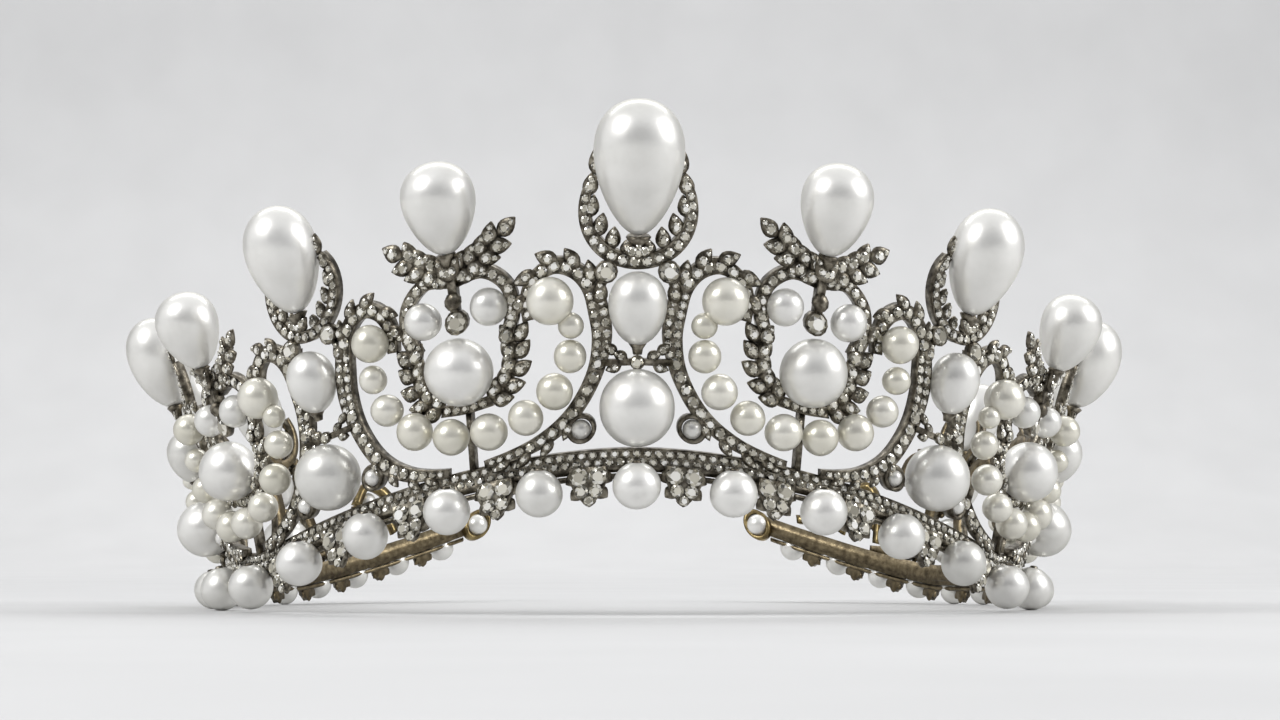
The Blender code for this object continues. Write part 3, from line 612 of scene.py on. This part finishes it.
BRILLIANT = table_out(brilliant_form())
COLLET_WALL = table_out(hoop([
    (COLLET_RIM - 0.06, -0.8), (COLLET_RIM, -0.05), (1.06, 0.12), (0.94, 0.02), (0.88, -0.8),
], 12))
SEAT_CUP = turned([(0, -1.0), (0.5, -1.0), (0.62, -0.35), (1.0, 0.2), (0.86, 0.36), (0, 0.05)], 18)
FRINGE_CAP = turned([(0, 0.0), (0.8, -0.2), (0.9, -0.1), (0.6, 0.35), (0, 0.45)], 12)
KNOB = turned([(0, -1.0), (0.6, -0.85), (0.95, -0.3), (0.95, 0.3), (0.6, 0.85), (0, 1.0)], 14)


def smooth_line(points, pitch):
    """Evenly spaced points on a smooth curve through the given ones."""
    fine = []
    last = len(points) - 1
    for index in range(last):
        a = points[max(index - 1, 0)]
        b = points[index]
        c = points[index + 1]
        d = points[min(index + 2, last)]
        for step in range(12):
            t = step / 12
            fine.append(tuple(
                0.5 * (2 * q + (r - p) * t + (2 * p - 5 * q + 4 * r - s) * t * t
                       + (3 * q - p - 3 * r + s) * t ** 3)
                for p, q, r, s in zip(a, b, c, d)
            ))
    fine.append(tuple(points[-1]))
    fine = np.array(fine)
    steps = np.hypot(*(np.diff(fine[:, :2], axis=0).T))
    lengths = np.concatenate([[0.0], np.cumsum(steps)])
    count = max(2, round(lengths[-1] / pitch))
    wants = np.linspace(0, lengths[-1], count + 1)
    return np.stack([np.interp(wants, lengths, column) for column in fine.T], axis=-1)


def normals_of(line):
    """Unit normal at each point of a flat line."""
    along = np.gradient(line[:, :2], axis=0)
    along = along / np.hypot(along[:, 0], along[:, 1])[:, None]
    return np.stack([-along[:, 1], along[:, 0]], axis=-1)


def tube_faces(rows, count):
    """Faces of a closed tube: rows of points, each joined to the next, with a cap at both ends."""
    faces = []
    for row in range(rows - 1):
        here = row * count
        there = here + count
        for i in range(count):
            j = (i + 1) % count
            faces.append((here + i, here + j, there + j, there + i))
    faces.append(tuple(range(count))[::-1])
    faces.append(tuple((rows - 1) * count + i for i in range(count)))
    return faces


def ribbon_form(line, widths, low, high):
    """A band along a flat line with a raised lip on both edges, from one offset to another."""
    points = []
    for (x, y), (nx, ny), width in zip(line[:, :2], normals_of(line), widths):
        half = width / 2
        edge = min(BAND_LIP, half * 0.3)
        section = [
            (-half, low), (-half, high - edge * 0.6), (-half + edge * 0.5, high),
            (-half + edge * 1.4, high - edge * 0.9), (half - edge * 1.4, high - edge * 0.9),
            (half - edge * 0.5, high), (half, high - edge * 0.6), (half, low),
        ]
        points += [(x + nx * a, -out, y + ny * a) for a, out in section]
    return np.array(points), tube_faces(len(line), len(section))


def leaf_form(length, width, thickness):
    """A pointed leaf that grows up from its foot: domed, with a sunk midrib."""
    points = []
    for row in range(LEAF_ROWS):
        share = 0.02 + 0.96 * row / (LEAF_ROWS - 1)
        half = max(width / 2 * sin(pi * share ** 0.8) ** 0.85, 0.05)
        for column in range(LEAF_COLUMNS):
            across = -1 + 2 * column / (LEAF_COLUMNS - 1)
            dome = 1 - across * across if across else 0.82
            out = thickness * (0.35 + 0.65 * dome * sin(pi * share) ** 0.5)
            points.append((across * half, -out, length * share))
        points.append((half, 0.0, length * share))
        points.append((-half, 0.0, length * share))
    return np.array(points), tube_faces(LEAF_ROWS, LEAF_COLUMNS + 2)


def moved(form, side=0.0, height=0.0, out=0.0, size=1.0, turn=0.0):
    """A form scaled, turned in the ring's surface (degrees, clockwise from up) and moved."""
    points, faces = form
    points = points * size
    angle = radians(turn)
    x = points[:, 0] * cos(angle) + points[:, 2] * sin(angle)
    z = -points[:, 0] * sin(angle) + points[:, 2] * cos(angle)
    return np.stack([x + side, points[:, 1] - out, z + height], axis=-1), faces


def put_in_scene(name, data):
    made = bpy.data.objects.new(name, data)
    bpy.context.scene.collection.objects.link(made)
    return made


class Heap:
    """Many closed forms gathered for one mesh, each face with a value from 0 to 1: on pearls their
    random colour, on stones' facets a painted reflection.
    """

    def __init__(self):
        self.points = []
        self.faces = []
        self.tones_and_glints = []
        self.count = 0

    def add(self, form, shape, tones_and_glints=()):
        points, faces = form
        self.points.append(shape(points))
        self.faces += [tuple(i + self.count for i in face) for face in faces]
        self.tones_and_glints += list(tones_and_glints) or [0.5] * len(faces)
        self.count += len(points)

    def build(self, name, finish, slot, smooth=True, replaces=()):
        mesh = bpy.data.meshes.new(name)
        mesh.from_pydata(np.concatenate(self.points).tolist(), [], self.faces)
        # Per face: a pearl's random colour, and on stones' facets a painted reflection.
        layer = mesh.attributes.new("tone_and_glint", "FLOAT", "FACE")
        layer.data.foreach_set("value", self.tones_and_glints)
        mesh.materials.append(finish)
        mesh.polygons.foreach_set("use_smooth", [smooth] * len(mesh.polygons))
        mesh.update()
        made = put_in_scene(name, mesh)
        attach(made, "root")
        if replaces:
            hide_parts(*replaces)


def painted_facet_reflections():
    """Painted reflections for one stone's facets: a bright or dark table, and crown facets that
    vary.
    """
    table = chance.uniform(0.35, 1.0)
    crown = chance.uniform(0.05, 1.0, 32)
    return [table, *crown, *([0.2] * 16)]


def add_stone(stones, side, height, size, out, shape):
    turn = chance.uniform(0, 45)
    stones.add(moved(BRILLIANT, side, height, out, size / 2, turn), shape, painted_facet_reflections())


def add_set_stone(stones, metal, side, height, size, out, shape):
    """A stone in a collet of its own. The size is across the collet."""
    inner = size / COLLET_RIM
    add_stone(stones, side, height, inner, out, shape)
    metal.add(moved(COLLET_WALL, side, height, out, inner / 2), shape)


def add_ribbon(stones, metal, route, shape, low, high):
    """A band set with one row of stones, or with two where it is wide."""
    line = smooth_line(route, BAND_PITCH)
    metal.add(ribbon_form(line, line[:, 2], low, high), shape)
    normals = normals_of(line)
    lengths = np.concatenate([[0.0], np.cumsum(np.hypot(*np.diff(line[:, :2], axis=0).T))])
    at = line[0][2] * FIRST_STONE
    while at < lengths[-1] - END_MARGIN:
        x, y, width = (np.interp(at, lengths, line[:, i]) for i in range(3))
        nx, ny = (np.interp(at, lengths, normals[:, i]) for i in range(2))
        wide = width > TWO_ROWS
        size = width * (TWO_ROW_FILL if wide else STONE_FILL)
        for hand in (1, -1) if wide else (0,):
            shift = hand * width * TWO_ROW_SHIFT
            add_stone(stones, x + nx * shift, y + ny * shift, size, high - STONE_SINK, shape)
        at += size + STONE_GAP


def add_leaf(stones, metal, side, height, length, width, turn, out, shape):
    """A leaf set with a large stone near its foot and a small one towards its tip."""
    leaf = leaf_form(length, width, LEAF_THICKNESS)
    metal.add(moved(leaf, side, height, out, 1.0, turn), shape)
    angle = radians(turn)
    for share, size in LEAF_STONES:
        reach = length * share
        spot = side + reach * sin(angle), height + reach * cos(angle)
        add_stone(stones, *spot, width * size, out + LEAF_STONE_OFFSET, shape)


def add_band_leaves(stones, metal, route, shape, leaves, size, side):
    """Leaves laid on a band, one at each of their spots."""
    line = smooth_line(route, 0.5)
    along = np.gradient(line[:, :2], axis=0)
    normals = normals_of(line)
    for share, turn, shift in leaves["spots"]:
        at = round(share * (len(line) - 1))
        x, y = line[at, :2] + normals[at] * shift * side
        way = degrees(atan2(*along[at])) + turn * side
        add_leaf(
            stones, metal, x, y, leaves["length"] * size, leaves["width"] * size, way,
            BAND_LEAF_OFFSET, shape)


def add_branch(stones, metal, route, shape, leaves, size):
    """A leafy branch: a thin stem with pairs of leaves and a leaf at its tip."""
    out = leaves["offset"]
    line = smooth_line(route, leaves["pitch"])
    fine = smooth_line(route, WIRE_PITCH)
    metal.add(ribbon_form(fine, [BRANCH_STEM] * len(fine), out - 0.75, out + 0.3), shape)
    along = np.gradient(line[:, :2], axis=0)
    last = len(line) - 1
    for at, (x, y) in enumerate(line[:, :2]):
        way = degrees(atan2(*along[at]))
        for hand in (1, -1) if at < last else (0,):
            add_leaf(
                stones, metal, x, y, leaves["length"] * size, leaves["width"] * size,
                way + hand * BRANCH_SPREAD, out, shape)


def add_hoop(metal, rim, radius, sides, side, height, offset, shape):
    """A hoop round a pearl. Its rim is a loop of reaches past the radius and heights."""
    profile = [(radius + reach, out) for reach, out in rim]
    metal.add(moved(table_out(hoop(profile, sides)), side, height, offset), shape)


# Sizes and heights of a motif's parts

def eased(share, ease):
    """A share of full size whose shortfall counts only in part."""
    return 1 - ease * (1 - share)


def great_size(row):
    return GREAT_PEARL["length"] * eased(row["pearl"], PEARL_EASE)


def great_height(row):
    return MOTIF_FOOT + GREAT_LIFT + great_size(row) / 2


def bar_height(row):
    return great_height(row) + great_size(row) / 2 + BAR["lift"]


def volute_size(row):
    return VOLUTE["size"] * eased(row["pearl"], VOLUTE_EASE)


def volute_height(row):
    return MOTIF_FOOT + volute_size(row) / 2 + VOLUTE["lift"] * row["rise"]


def crescent_height(row):
    size = row["pearl"]
    collet = COLLET["size"] / 2 * eased(size, COLLET_EASE)
    reach = (CRESCENT["radius"] + CRESCENT["width"] / 2) * size + collet - SOLDER
    side = COLLET["side"] * row["span"]
    return COLLET["height"] * row["rise"] + sqrt(max(reach * reach - side * side, 0.0))


def cup_base(row):
    return crescent_height(row) - (CRESCENT["radius"] - CRESCENT["width"] / 2) * row["pearl"]


def drop_height(row):
    low = bar_height(row) + BAR["width"] / 2
    high = crescent_height(row) - (CRESCENT["radius"] + CRESCENT["width"] / 2) * row["pearl"]
    return low + DROP["share"] * (high - low)


def wreath_pearl_height(row):
    size = WREATH_PEARL["length"] * eased(row["pearl"], PEARL_EASE)
    return LAUREL[0][1] * row["rise"] + WREATH_PEARL["lift"] + size / 2


def column_crest(row):
    return cup_base(row) + CUP_HEIGHT + PEAR_GAP + TOP_PEAR["length"] / 2 * row["pearl"]


def stem_top(row):
    return BOW_HEIGHT * row["rise"] + STEM_RISE * row["pearl"]


def wreath_crest(row):
    return stem_top(row) + PEAR_GAP + WREATH_PEAR["length"] / 2 * row["pearl"]


def round_pearl(size):
    return {"width": size, "length": size, "taper": 0.0}


def add_pearl(heap, sizes, share, angle, height, offset=PEARL_OFFSET, detail=ROUND_DETAIL):
    """A pearl whose faces share one random colour value. Its detail is its number of sides and of
    rings.
    """
    form = pearl_form(sizes["width"] * share, sizes["length"] * share, sizes["taper"], *detail)
    tone_and_glint = float(chance.uniform(*PEARL_TONES))
    heap.add(form, standing(angle, height, offset), [tone_and_glint] * len(form[1]))


def column_pearls(row, angle):
    """A column's top pear, drop and great pearl, and a small pearl in each volute."""
    pearls = Heap()
    near = eased(row["pearl"], PEARL_EASE)
    pear = {**TOP_PEAR, "taper": SIDE_TAPER} if row["angle"] else TOP_PEAR
    add_pearl(pearls, pear, row["pearl"], angle, column_crest(row), detail=TOP_DETAIL)
    add_pearl(pearls, DROP, near, angle, drop_height(row), detail=DROP_DETAIL)
    add_pearl(pearls, GREAT_PEARL, near, angle, great_height(row), detail=GREAT_DETAIL)
    inner = round_pearl(volute_size(row) - 2 * VOLUTE["rim"])
    offset = VOLUTE["pearl_offset"]
    for side in (1, -1):
        spot = angle + degrees(side * VOLUTE["side"] * row["span"] / flare(VOLUTE["level"]))
        add_pearl(pearls, inner, 1.0, spot, volute_height(row), offset, SMALL_DETAIL)
    return pearls


def make_column(row, hand, tag):
    """A column motif: scrolls, volutes, collets and a crescent of leaves, with its three pearls."""
    angle = hand * row["angle"]
    rise, span, size = row["rise"], row["span"], row["pearl"]
    near = eased(size, PEARL_EASE)
    shape = bent(angle)
    metal = Heap()
    stones = Heap()
    rim = volute_size(row) / 2
    collet = COLLET["size"] * eased(size, COLLET_EASE)
    bar_line = bar_height(row)
    for side in (1, -1):
        route = []
        for u, v, w in COLUMN_SCROLL:
            width = w * SCROLL_WIDTH
            lowest = RAIL_HIGH - SCROLL_SINK + width / 2
            route.append((side * u * span, max(v * rise, lowest), width))
        add_ribbon(stones, metal, route, shape, SCROLL_BACK, SCROLL_FRONT)
        add_band_leaves(stones, metal, route, shape, ARCH_LEAVES, span, side)
        add_band_leaves(stones, metal, route, shape, TAIL_LEAVES, span, side)
        centre = side * VOLUTE["side"] * span, volute_height(row)
        add_hoop(metal, VOLUTE_RIM, rim, VOLUTE_SIDES, *centre, 0.0, shape)
        top = (side * COLLET["side"] * span, COLLET["height"] * rise)
        add_set_stone(stones, metal, *top, collet, COLLET["offset"], shape)
        foot = (side * COLLET_FOOT["side"] * span, COLLET_FOOT["height"] * rise)
        leg = [(*top, COLLET_FOOT["width"]), (*foot, COLLET_FOOT["width"])]
        add_ribbon(stones, metal, leg, shape, SCROLL_BACK, LOW_FRONT)
        for reach, lift, turn in BAR_LEAVES["spots"]:
            add_leaf(
                stones, metal, side * reach * span, bar_line + lift * rise,
                BAR_LEAVES["length"] * span, BAR_LEAVES["width"] * span, side * turn,
                BAR_LEAVES["offset"], shape)
    reach = BAR["side"] * span
    bar = np.array([(-reach, bar_line), (0.0, bar_line), (reach, bar_line)])
    widths = [BAR_BAND["width"]] * 3
    metal.add(ribbon_form(bar, widths, BAR_BAND["back"], BAR_BAND["front"]), shape)
    stone = BAR_BAND["stone"] * size
    add_set_stone(stones, metal, 0.0, bar_line, stone, BAR_BAND["stone_offset"], shape)
    add_crescent(stones, metal, row, shape)
    pearls = column_pearls(row, angle)
    cup_height = column_crest(row) - TOP_PEAR["length"] / 2 * size
    cup = moved(SEAT_CUP, 0.0, cup_height - 0.1, PEARL_OFFSET, TOP_PEAR["cup"] * size)
    metal.add(cup, shape)
    for turn, lift in CUP_LEAVES["spots"]:
        add_leaf(
            stones, metal, 0.0, cup_height + lift - CUP_LEAVES["drop"] * size,
            CUP_LEAVES["length"] * size, CUP_LEAVES["width"] * size, turn,
            CUP_LEAVES["offset"] * size, shape)
    drop_foot = drop_height(row) - DROP["length"] / 2 * near
    metal.add(moved(SEAT_CUP, 0.0, drop_foot + 0.1, PEARL_OFFSET, DROP["cup"] * near), shape)
    metal.build(f"column_{tag}_silver", SILVER, "silver", replaces=[f"column_{tag}"])
    stones.build(f"column_{tag}_stones", DIAMOND, "diamond", smooth=False)
    nodes = [f"{title}_{tag}" for title in ("top_pear", "drop_pearl", "great_pearl")]
    pearls.build(f"column_{tag}_pearls", WHITE_NACRE, "pearl", replaces=nodes)


def add_crescent(stones, metal, row, shape):
    """The crescent of leaves that holds the top pear: a set band with leaf tips inside it."""
    size = row["pearl"]
    middle = crescent_height(row)
    radius = CRESCENT["radius"] * size
    band = CRESCENT_BAND
    route = []
    for step in range(band["steps"] + 1):
        share = step / band["steps"]
        turn = radians(CRESCENT["end"] - share * (180 + 2 * CRESCENT["end"]))
        fullness = sin(pi * share) ** CRESCENT["fullness"] if 0 < share < 1 else 0.0
        width = (CRESCENT["tip"] + (CRESCENT["width"] - CRESCENT["tip"]) * fullness) * size
        reach = radius + width * band["shift"]
        set_width = max(width * band["share"], band["least"])
        route.append((reach * cos(turn), middle + reach * sin(turn), set_width))
    add_ribbon(stones, metal, route, shape, -band["thickness"] / 2, band["thickness"] / 2)
    reach = radius - CRESCENT_LEAVES["inset"] * size
    for side in (1, -1):
        for spot, turn, length in CRESCENT_LEAVES["spots"]:
            around = radians(spot)
            add_leaf(
                stones, metal, side * reach * cos(around), middle + reach * sin(around),
                length * size, CRESCENT_LEAVES["width"] * size, side * turn,
                CRESCENT_LEAVES["offset"], shape)


def wreath_pearls(row, angle):
    """A wreath's top pear and great pearl, and the pair beside its stem."""
    pearls = Heap()
    size = row["pearl"]
    near = eased(size, PEARL_EASE)
    add_pearl(pearls, WREATH_PEAR, size, angle, wreath_crest(row), detail=WREATH_TOP_DETAIL)
    height = wreath_pearl_height(row) + WREATH_PEARL["raise"] * near
    growth = WREATH_PEARL["growth"] * near
    add_pearl(pearls, WREATH_PEARL, growth, angle, height, detail=GREAT_DETAIL)
    pair = round_pearl(PAIR_PEARL["size"] * PAIR_PEARL["growth"])
    height = PAIR_PEARL["height"] * row["rise"]
    for side in (1, -1):
        spot = angle + degrees(side * PAIR_PEARL["side"] * row["span"] / flare(height))
        add_pearl(pearls, pair, size, spot, height, PAIR_PEARL["offset"], ROUND_DETAIL)
    return pearls


def garland_pearls(row, hand):
    """The string of cream pearls that hangs round a wreath."""
    pearls = Heap()
    for spot in SWAG:
        turn = hand * (row["angle"] + spot["angle"] * row["span"])
        height = spot["height"] * row["rise"]
        pearl = round_pearl(spot["size"])
        add_pearl(pearls, pearl, row["pearl"], turn, height, SWAG_OFFSET, ROUND_DETAIL)
    return pearls


def make_wreath(row, hand, tag):
    """A wreath motif: ring scroll, bow of leaves, laurel branches and its pearls and garland."""
    angle = hand * row["angle"]
    rise, span, size = row["rise"], row["span"], row["pearl"]
    near = eased(size, PEARL_EASE)
    shape = bent(angle)
    metal = Heap()
    stones = Heap()

    def route(points, width=0.0, side=1):
        return [(side * u * span, v * rise, width) for u, v in points]

    for side in (1, -1):
        arc = route(WREATH_ARC, WREATH_ARC_WIDTH, side)
        add_ribbon(stones, metal, arc, shape, SCROLL_BACK, SCROLL_FRONT)
        add_branch(stones, metal, route(LAUREL[1:], 0.0, side), shape, LAUREL_LEAVES, size)
        add_branch(stones, metal, route(BOW_LEAF, 0.0, side), shape, BOW_LEAVES, size)
        end = arc[-1]
        add_set_stone(
            stones, metal, end[0], end[1], ARC_END_STONE * size, SCROLL_FRONT + 0.3, shape)
    bottom = route([(-LAUREL[1][0], LAUREL[1][1]), LAUREL[0], LAUREL[1]], LAUREL_BAND_WIDTH)
    add_ribbon(stones, metal, bottom, shape, SCROLL_BACK, LOW_FRONT)
    stone_height = CENTRE_STONE["height"] * rise
    stone_size = CENTRE_STONE["size"] * near
    add_set_stone(stones, metal, 0.0, stone_height, stone_size, CENTRE_STONE["offset"], shape)
    stem = np.array([(0.0, stone_height + stone_size * 0.4), (0.0, stem_top(row))])
    metal.add(ribbon_form(stem, STEM["widths"], STEM["back"], STEM["front"]), shape)
    knob_height = stone_height + stone_size * 0.85
    knob = moved(KNOB, 0.0, knob_height, STEM_KNOB["offset"], STEM_KNOB["size"] * size)
    metal.add(knob, shape)
    for turn, length in STEM_LEAVES["spots"]:
        add_leaf(
            stones, metal, 0.0, stem_top(row) - STEM_LEAVES["drop"] * size, length * size,
            STEM_LEAVES["width"] * size, turn, STEM_LEAVES["offset"], shape)
    post = np.array([(0.0, RAIL_HIGH - POST["sink"]), (0.0, POST["top"] * rise)])
    metal.add(ribbon_form(post, POST["widths"], POST["back"], POST["front"]), shape)
    cup_height = wreath_crest(row) - WREATH_PEAR["length"] / 2 * size
    metal.add(moved(SEAT_CUP, 0.0, cup_height, PEARL_OFFSET, WREATH_PEAR["cup"] * size), shape)
    pearls = wreath_pearls(row, angle)
    metal.build(f"wreath_{tag}_silver", SILVER, "silver", replaces=[f"wreath_{tag}"])
    stones.build(f"wreath_{tag}_stones", DIAMOND, "diamond", smooth=False)
    nodes = [f"top_pear_{tag}", f"great_pearl_{tag}"]
    pearls.build(f"wreath_{tag}_pearls", WHITE_NACRE, "pearl", replaces=nodes)
    garland = garland_pearls(row, hand)
    garland.build(f"garland_{tag}", CREAM_NACRE, "pearl", replaces=[f"swag_{tag}"])


def add_sweep(metal, turns, section):
    """A closed bar along the ring. Its section is a loop of heights and offsets."""
    def along_ring(points):
        return place(points[:, 0], points[:, 2], -points[:, 1])

    points = [(turn, -out, height) for turn in turns for height, out in section]
    metal.add((np.array(points), tube_faces(len(turns), len(section))), along_ring)


def make_rail():
    """The rail: a silver band with a lip on both edges and two rows of stones."""
    metal = Heap()
    stones = Heap()
    count = round(2 * RING_END / RAIL_STEP)
    add_sweep(metal, np.linspace(-RING_END, RING_END, count + 1), RAIL_SECTION)
    step = degrees(RAIL_STONE_PITCH / RING_RADIUS)
    for turn in np.arange(-RING_END + 1.0, RING_END - 1.0, step):
        for side, height in RAIL_STONE_ROWS:
            add_stone(stones, side, height, RAIL_STONE, RAIL_FRONT + 0.1, bent(turn))
    metal.build("rail_band", SILVER, "silver", replaces=["rail"])
    stones.build("rail_stones", DIAMOND, "diamond", smooth=False)


def make_fringe(name, angles):
    """A run of fringe pearls under the rail, with a palmette of set stones between each two."""
    metal = Heap()
    stones = Heap()
    pearls = Heap()
    beyond = FRINGE_WIRE["beyond"]
    reach = np.linspace(angles[0] - beyond, angles[-1] + beyond, 12 * len(angles))
    section = []
    for k in range(FRINGE_WIRE["sides"]):
        turn = k * 2 * pi / FRINGE_WIRE["sides"]
        up, out = FRINGE_WIRE["radius"] * cos(turn), FRINGE_WIRE["radius"] * sin(turn)
        section.append((STRIP_HEIGHT + up, out))
    add_sweep(metal, reach, section)
    for angle in angles:
        size = float(fringe_size(angle))
        offset = fringe_offset(size)
        height = FRINGE_TOP - size / 2
        add_pearl(pearls, round_pearl(size), 1.0, angle, height, offset, FRINGE_DETAIL)
        cap = moved(FRINGE_CAP, 0.0, FRINGE_TOP - 0.1, offset, size / FRONT_PEARL_SIZE)
        metal.add(cap, bent(angle))
    for before, after in zip(angles, angles[1:]):
        middle = (before + after) / 2
        add_palmette(stones, metal, float(fringe_size(middle)) / FRONT_PEARL_SIZE, bent(middle))
    metal.build(f"{name}_silver", SILVER, "silver")
    stones.build(f"{name}_stones", DIAMOND, "diamond", smooth=False)
    pearls.build(f"{name}_pearls", WHITE_NACRE, "pearl", replaces=[name])


def mirrored(rows):
    """Each row of a table with its hand, and one that lies in the middle only once."""
    return [(hand, *row) for hand in (1, -1) for row in rows if row[0] or hand > 0]


def add_palmette(stones, metal, size, shape):
    """Five stones on a stepped leaf plate that hangs point down."""
    def drop(height):
        return PALMETTE_TOP - (PALMETTE_TOP - height) * size

    out = PALMETTE_STONE_OFFSET
    for hand, side, height, stone in mirrored(PALMETTE_STONES):
        add_stone(stones, hand * side * size, drop(height), stone * size, out, shape)
    out = PALMETTE_LEAF["offset"]
    for hand, side, height, turn, length in mirrored(PALMETTE_LEAVES):
        leaf = leaf_form(length, PALMETTE_LEAF["width"], PALMETTE_LEAF["thickness"])
        metal.add(moved(leaf, hand * side * size, drop(height), out, size, hand * turn), shape)
    plate = np.array([(0.0, drop(height)) for height, _ in PALMETTE_PLATE])
    widths = [width * size for _, width in PALMETTE_PLATE]
    metal.add(ribbon_form(plate, widths, PALMETTE_BACK, PALMETTE_FRONT), shape)


def make_heel(side):
    """The low gold scrollwork behind the last motif, with two small pearls and one in a hoop."""
    hand = SIDES[side]
    shape = bent(hand * HEEL_MIDDLE)
    wires = Heap()
    for wire in HEEL_WIRES:
        flat = [
            (hand * radians(turn - HEEL_MIDDLE) * flare(height), height, 0.0)
            for turn, height in wire["route"]
        ]
        line = smooth_line(flat, WIRE_PITCH)
        half = wire["thickness"] / 2
        wires.add(ribbon_form(line, [wire["width"]] * len(line), -half, half), shape)
    pearls = Heap()
    for turn, height, size in HEEL_PEARLS:
        pearl = round_pearl(size)
        add_pearl(pearls, pearl, 1.0, hand * turn, height, HEEL_PEARL_OFFSET, HEEL_DETAIL)
    size = END_PEARL["size"]
    turn = hand * END_PEARL["angle"]
    spot = END_PEARL["height"], END_PEARL["offset"]
    add_pearl(pearls, round_pearl(size), 1.0, turn, *spot, ROUND_DETAIL)
    add_hoop(wires, END_RIM, size / 2, END_SIDES, 0.0, *spot, bent(turn))
    wires.build(f"heel_scroll_{side}_gold", GOLD, "gold", replaces=[f"heel_scroll_{side}"])
    pearls.build(f"heel_pearls_{side}", WHITE_NACRE, "pearl")


def make_pieces():
    make_rail()
    steps = range(-FRONT_PEARLS_A_SIDE, FRONT_PEARLS_A_SIDE + 1)
    make_fringe("fringe_front", [step * FRONT_PEARL_STEP for step in steps])
    make_fringe("fringe_left", SIDE_FRINGE)
    make_fringe("fringe_right", [-angle for angle in reversed(SIDE_FRINGE)])
    makers = {"column": make_column, "wreath": make_wreath}
    for row in MOTIFS:
        if row["angle"] == 0:
            makers[row["kind"]](row, 1, row["name"])
            continue
        for side, hand in SIDES.items():
            makers[row["kind"]](row, hand, f"{row['name']}_{side}")
    for side in SIDES:
        make_heel(side)


# Studio

def aim(thing, target):
    way = Vector(target) - thing.location
    thing.rotation_euler = way.to_track_quat("-Z", "Y").to_euler()


def make_camera():
    data = bpy.data.cameras.new("camera")
    data.lens = LENS
    data.sensor_width = SENSOR
    camera = put_in_scene("camera", data)
    turn = radians(CAMERA_YAW)
    camera.location = Vector((
        -CAMERA_DISTANCE * sin(turn), AXIS_SHIFT - CAMERA_DISTANCE * cos(turn), CAMERA_HEIGHT,
    )) * MM
    aim(camera, Vector(AIM) * MM)
    bpy.context.scene.camera = camera


def make_backdrop():
    """A sweep of paper: floor, a wide bend and a wall."""
    half, back, bend, steps = (BACKDROP[part] for part in ("half", "back", "bend", "steps"))
    rows = [(-BACKDROP["front"], 0.0)]
    for step in range(steps + 1):
        turn = radians(90 * step / steps)
        rows.append((back + bend * sin(turn), bend * (1 - cos(turn))))
    rows.append((back + bend, BACKDROP["wall"]))
    points = []
    for y, z in rows:
        points += [(-half, y, z), (half, y, z)]
    faces = [(2 * i, 2 * i + 1, 2 * i + 3, 2 * i + 2) for i in range(len(rows) - 1)]
    mesh = bpy.data.meshes.new("backdrop")
    mesh.from_pydata(points, [], faces)
    mesh.materials.append(paper_material())
    mesh.shade_smooth()
    put_in_scene("backdrop", mesh)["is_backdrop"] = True


def make_lights():
    for row in LIGHTS:
        data = bpy.data.lights.new(row["name"], "AREA")
        data.shape = "RECTANGLE"
        data.size, data.size_y = row["size"]
        data.energy = row["watts"]
        lamp = put_in_scene(row["name"], data)
        lamp.location = row["spot"]
        aim(lamp, row["target"])


def make_room():
    """The light of the room: pale all round and dark behind the camera."""
    world = bpy.data.worlds.new("studio")
    world.use_nodes = True
    tree = world.node_tree
    ways = add_node(tree, "ShaderNodeTexCoord")
    front = add_node(
        tree, "ShaderNodeVectorMath", [(0, ways.outputs["Generated"])], operation="DOT_PRODUCT")
    front.inputs[1].default_value = ROOM_DARK_WAY
    room = add_ramp(
        tree, front.outputs["Value"],
        [(0.0, "#f1f2f4"), (0.55, "#e4e5e8"), (0.85, "#6d6e72"), (1.0, "#3c3d40")])
    sky = tree.nodes["Background"]
    tree.links.new(room, sky.inputs["Color"])
    sky.inputs["Strength"].default_value = ROOM_STRENGTH
    bpy.context.scene.world = world
    bpy.context.scene.view_settings.view_transform = "Standard"


make_camera()
make_backdrop()
make_lights()
make_room()
make_pieces()
sizes = {"cad": cad_box, "visual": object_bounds()}
{name: [list(corner) for corner in box] for name, box in sizes.items()}
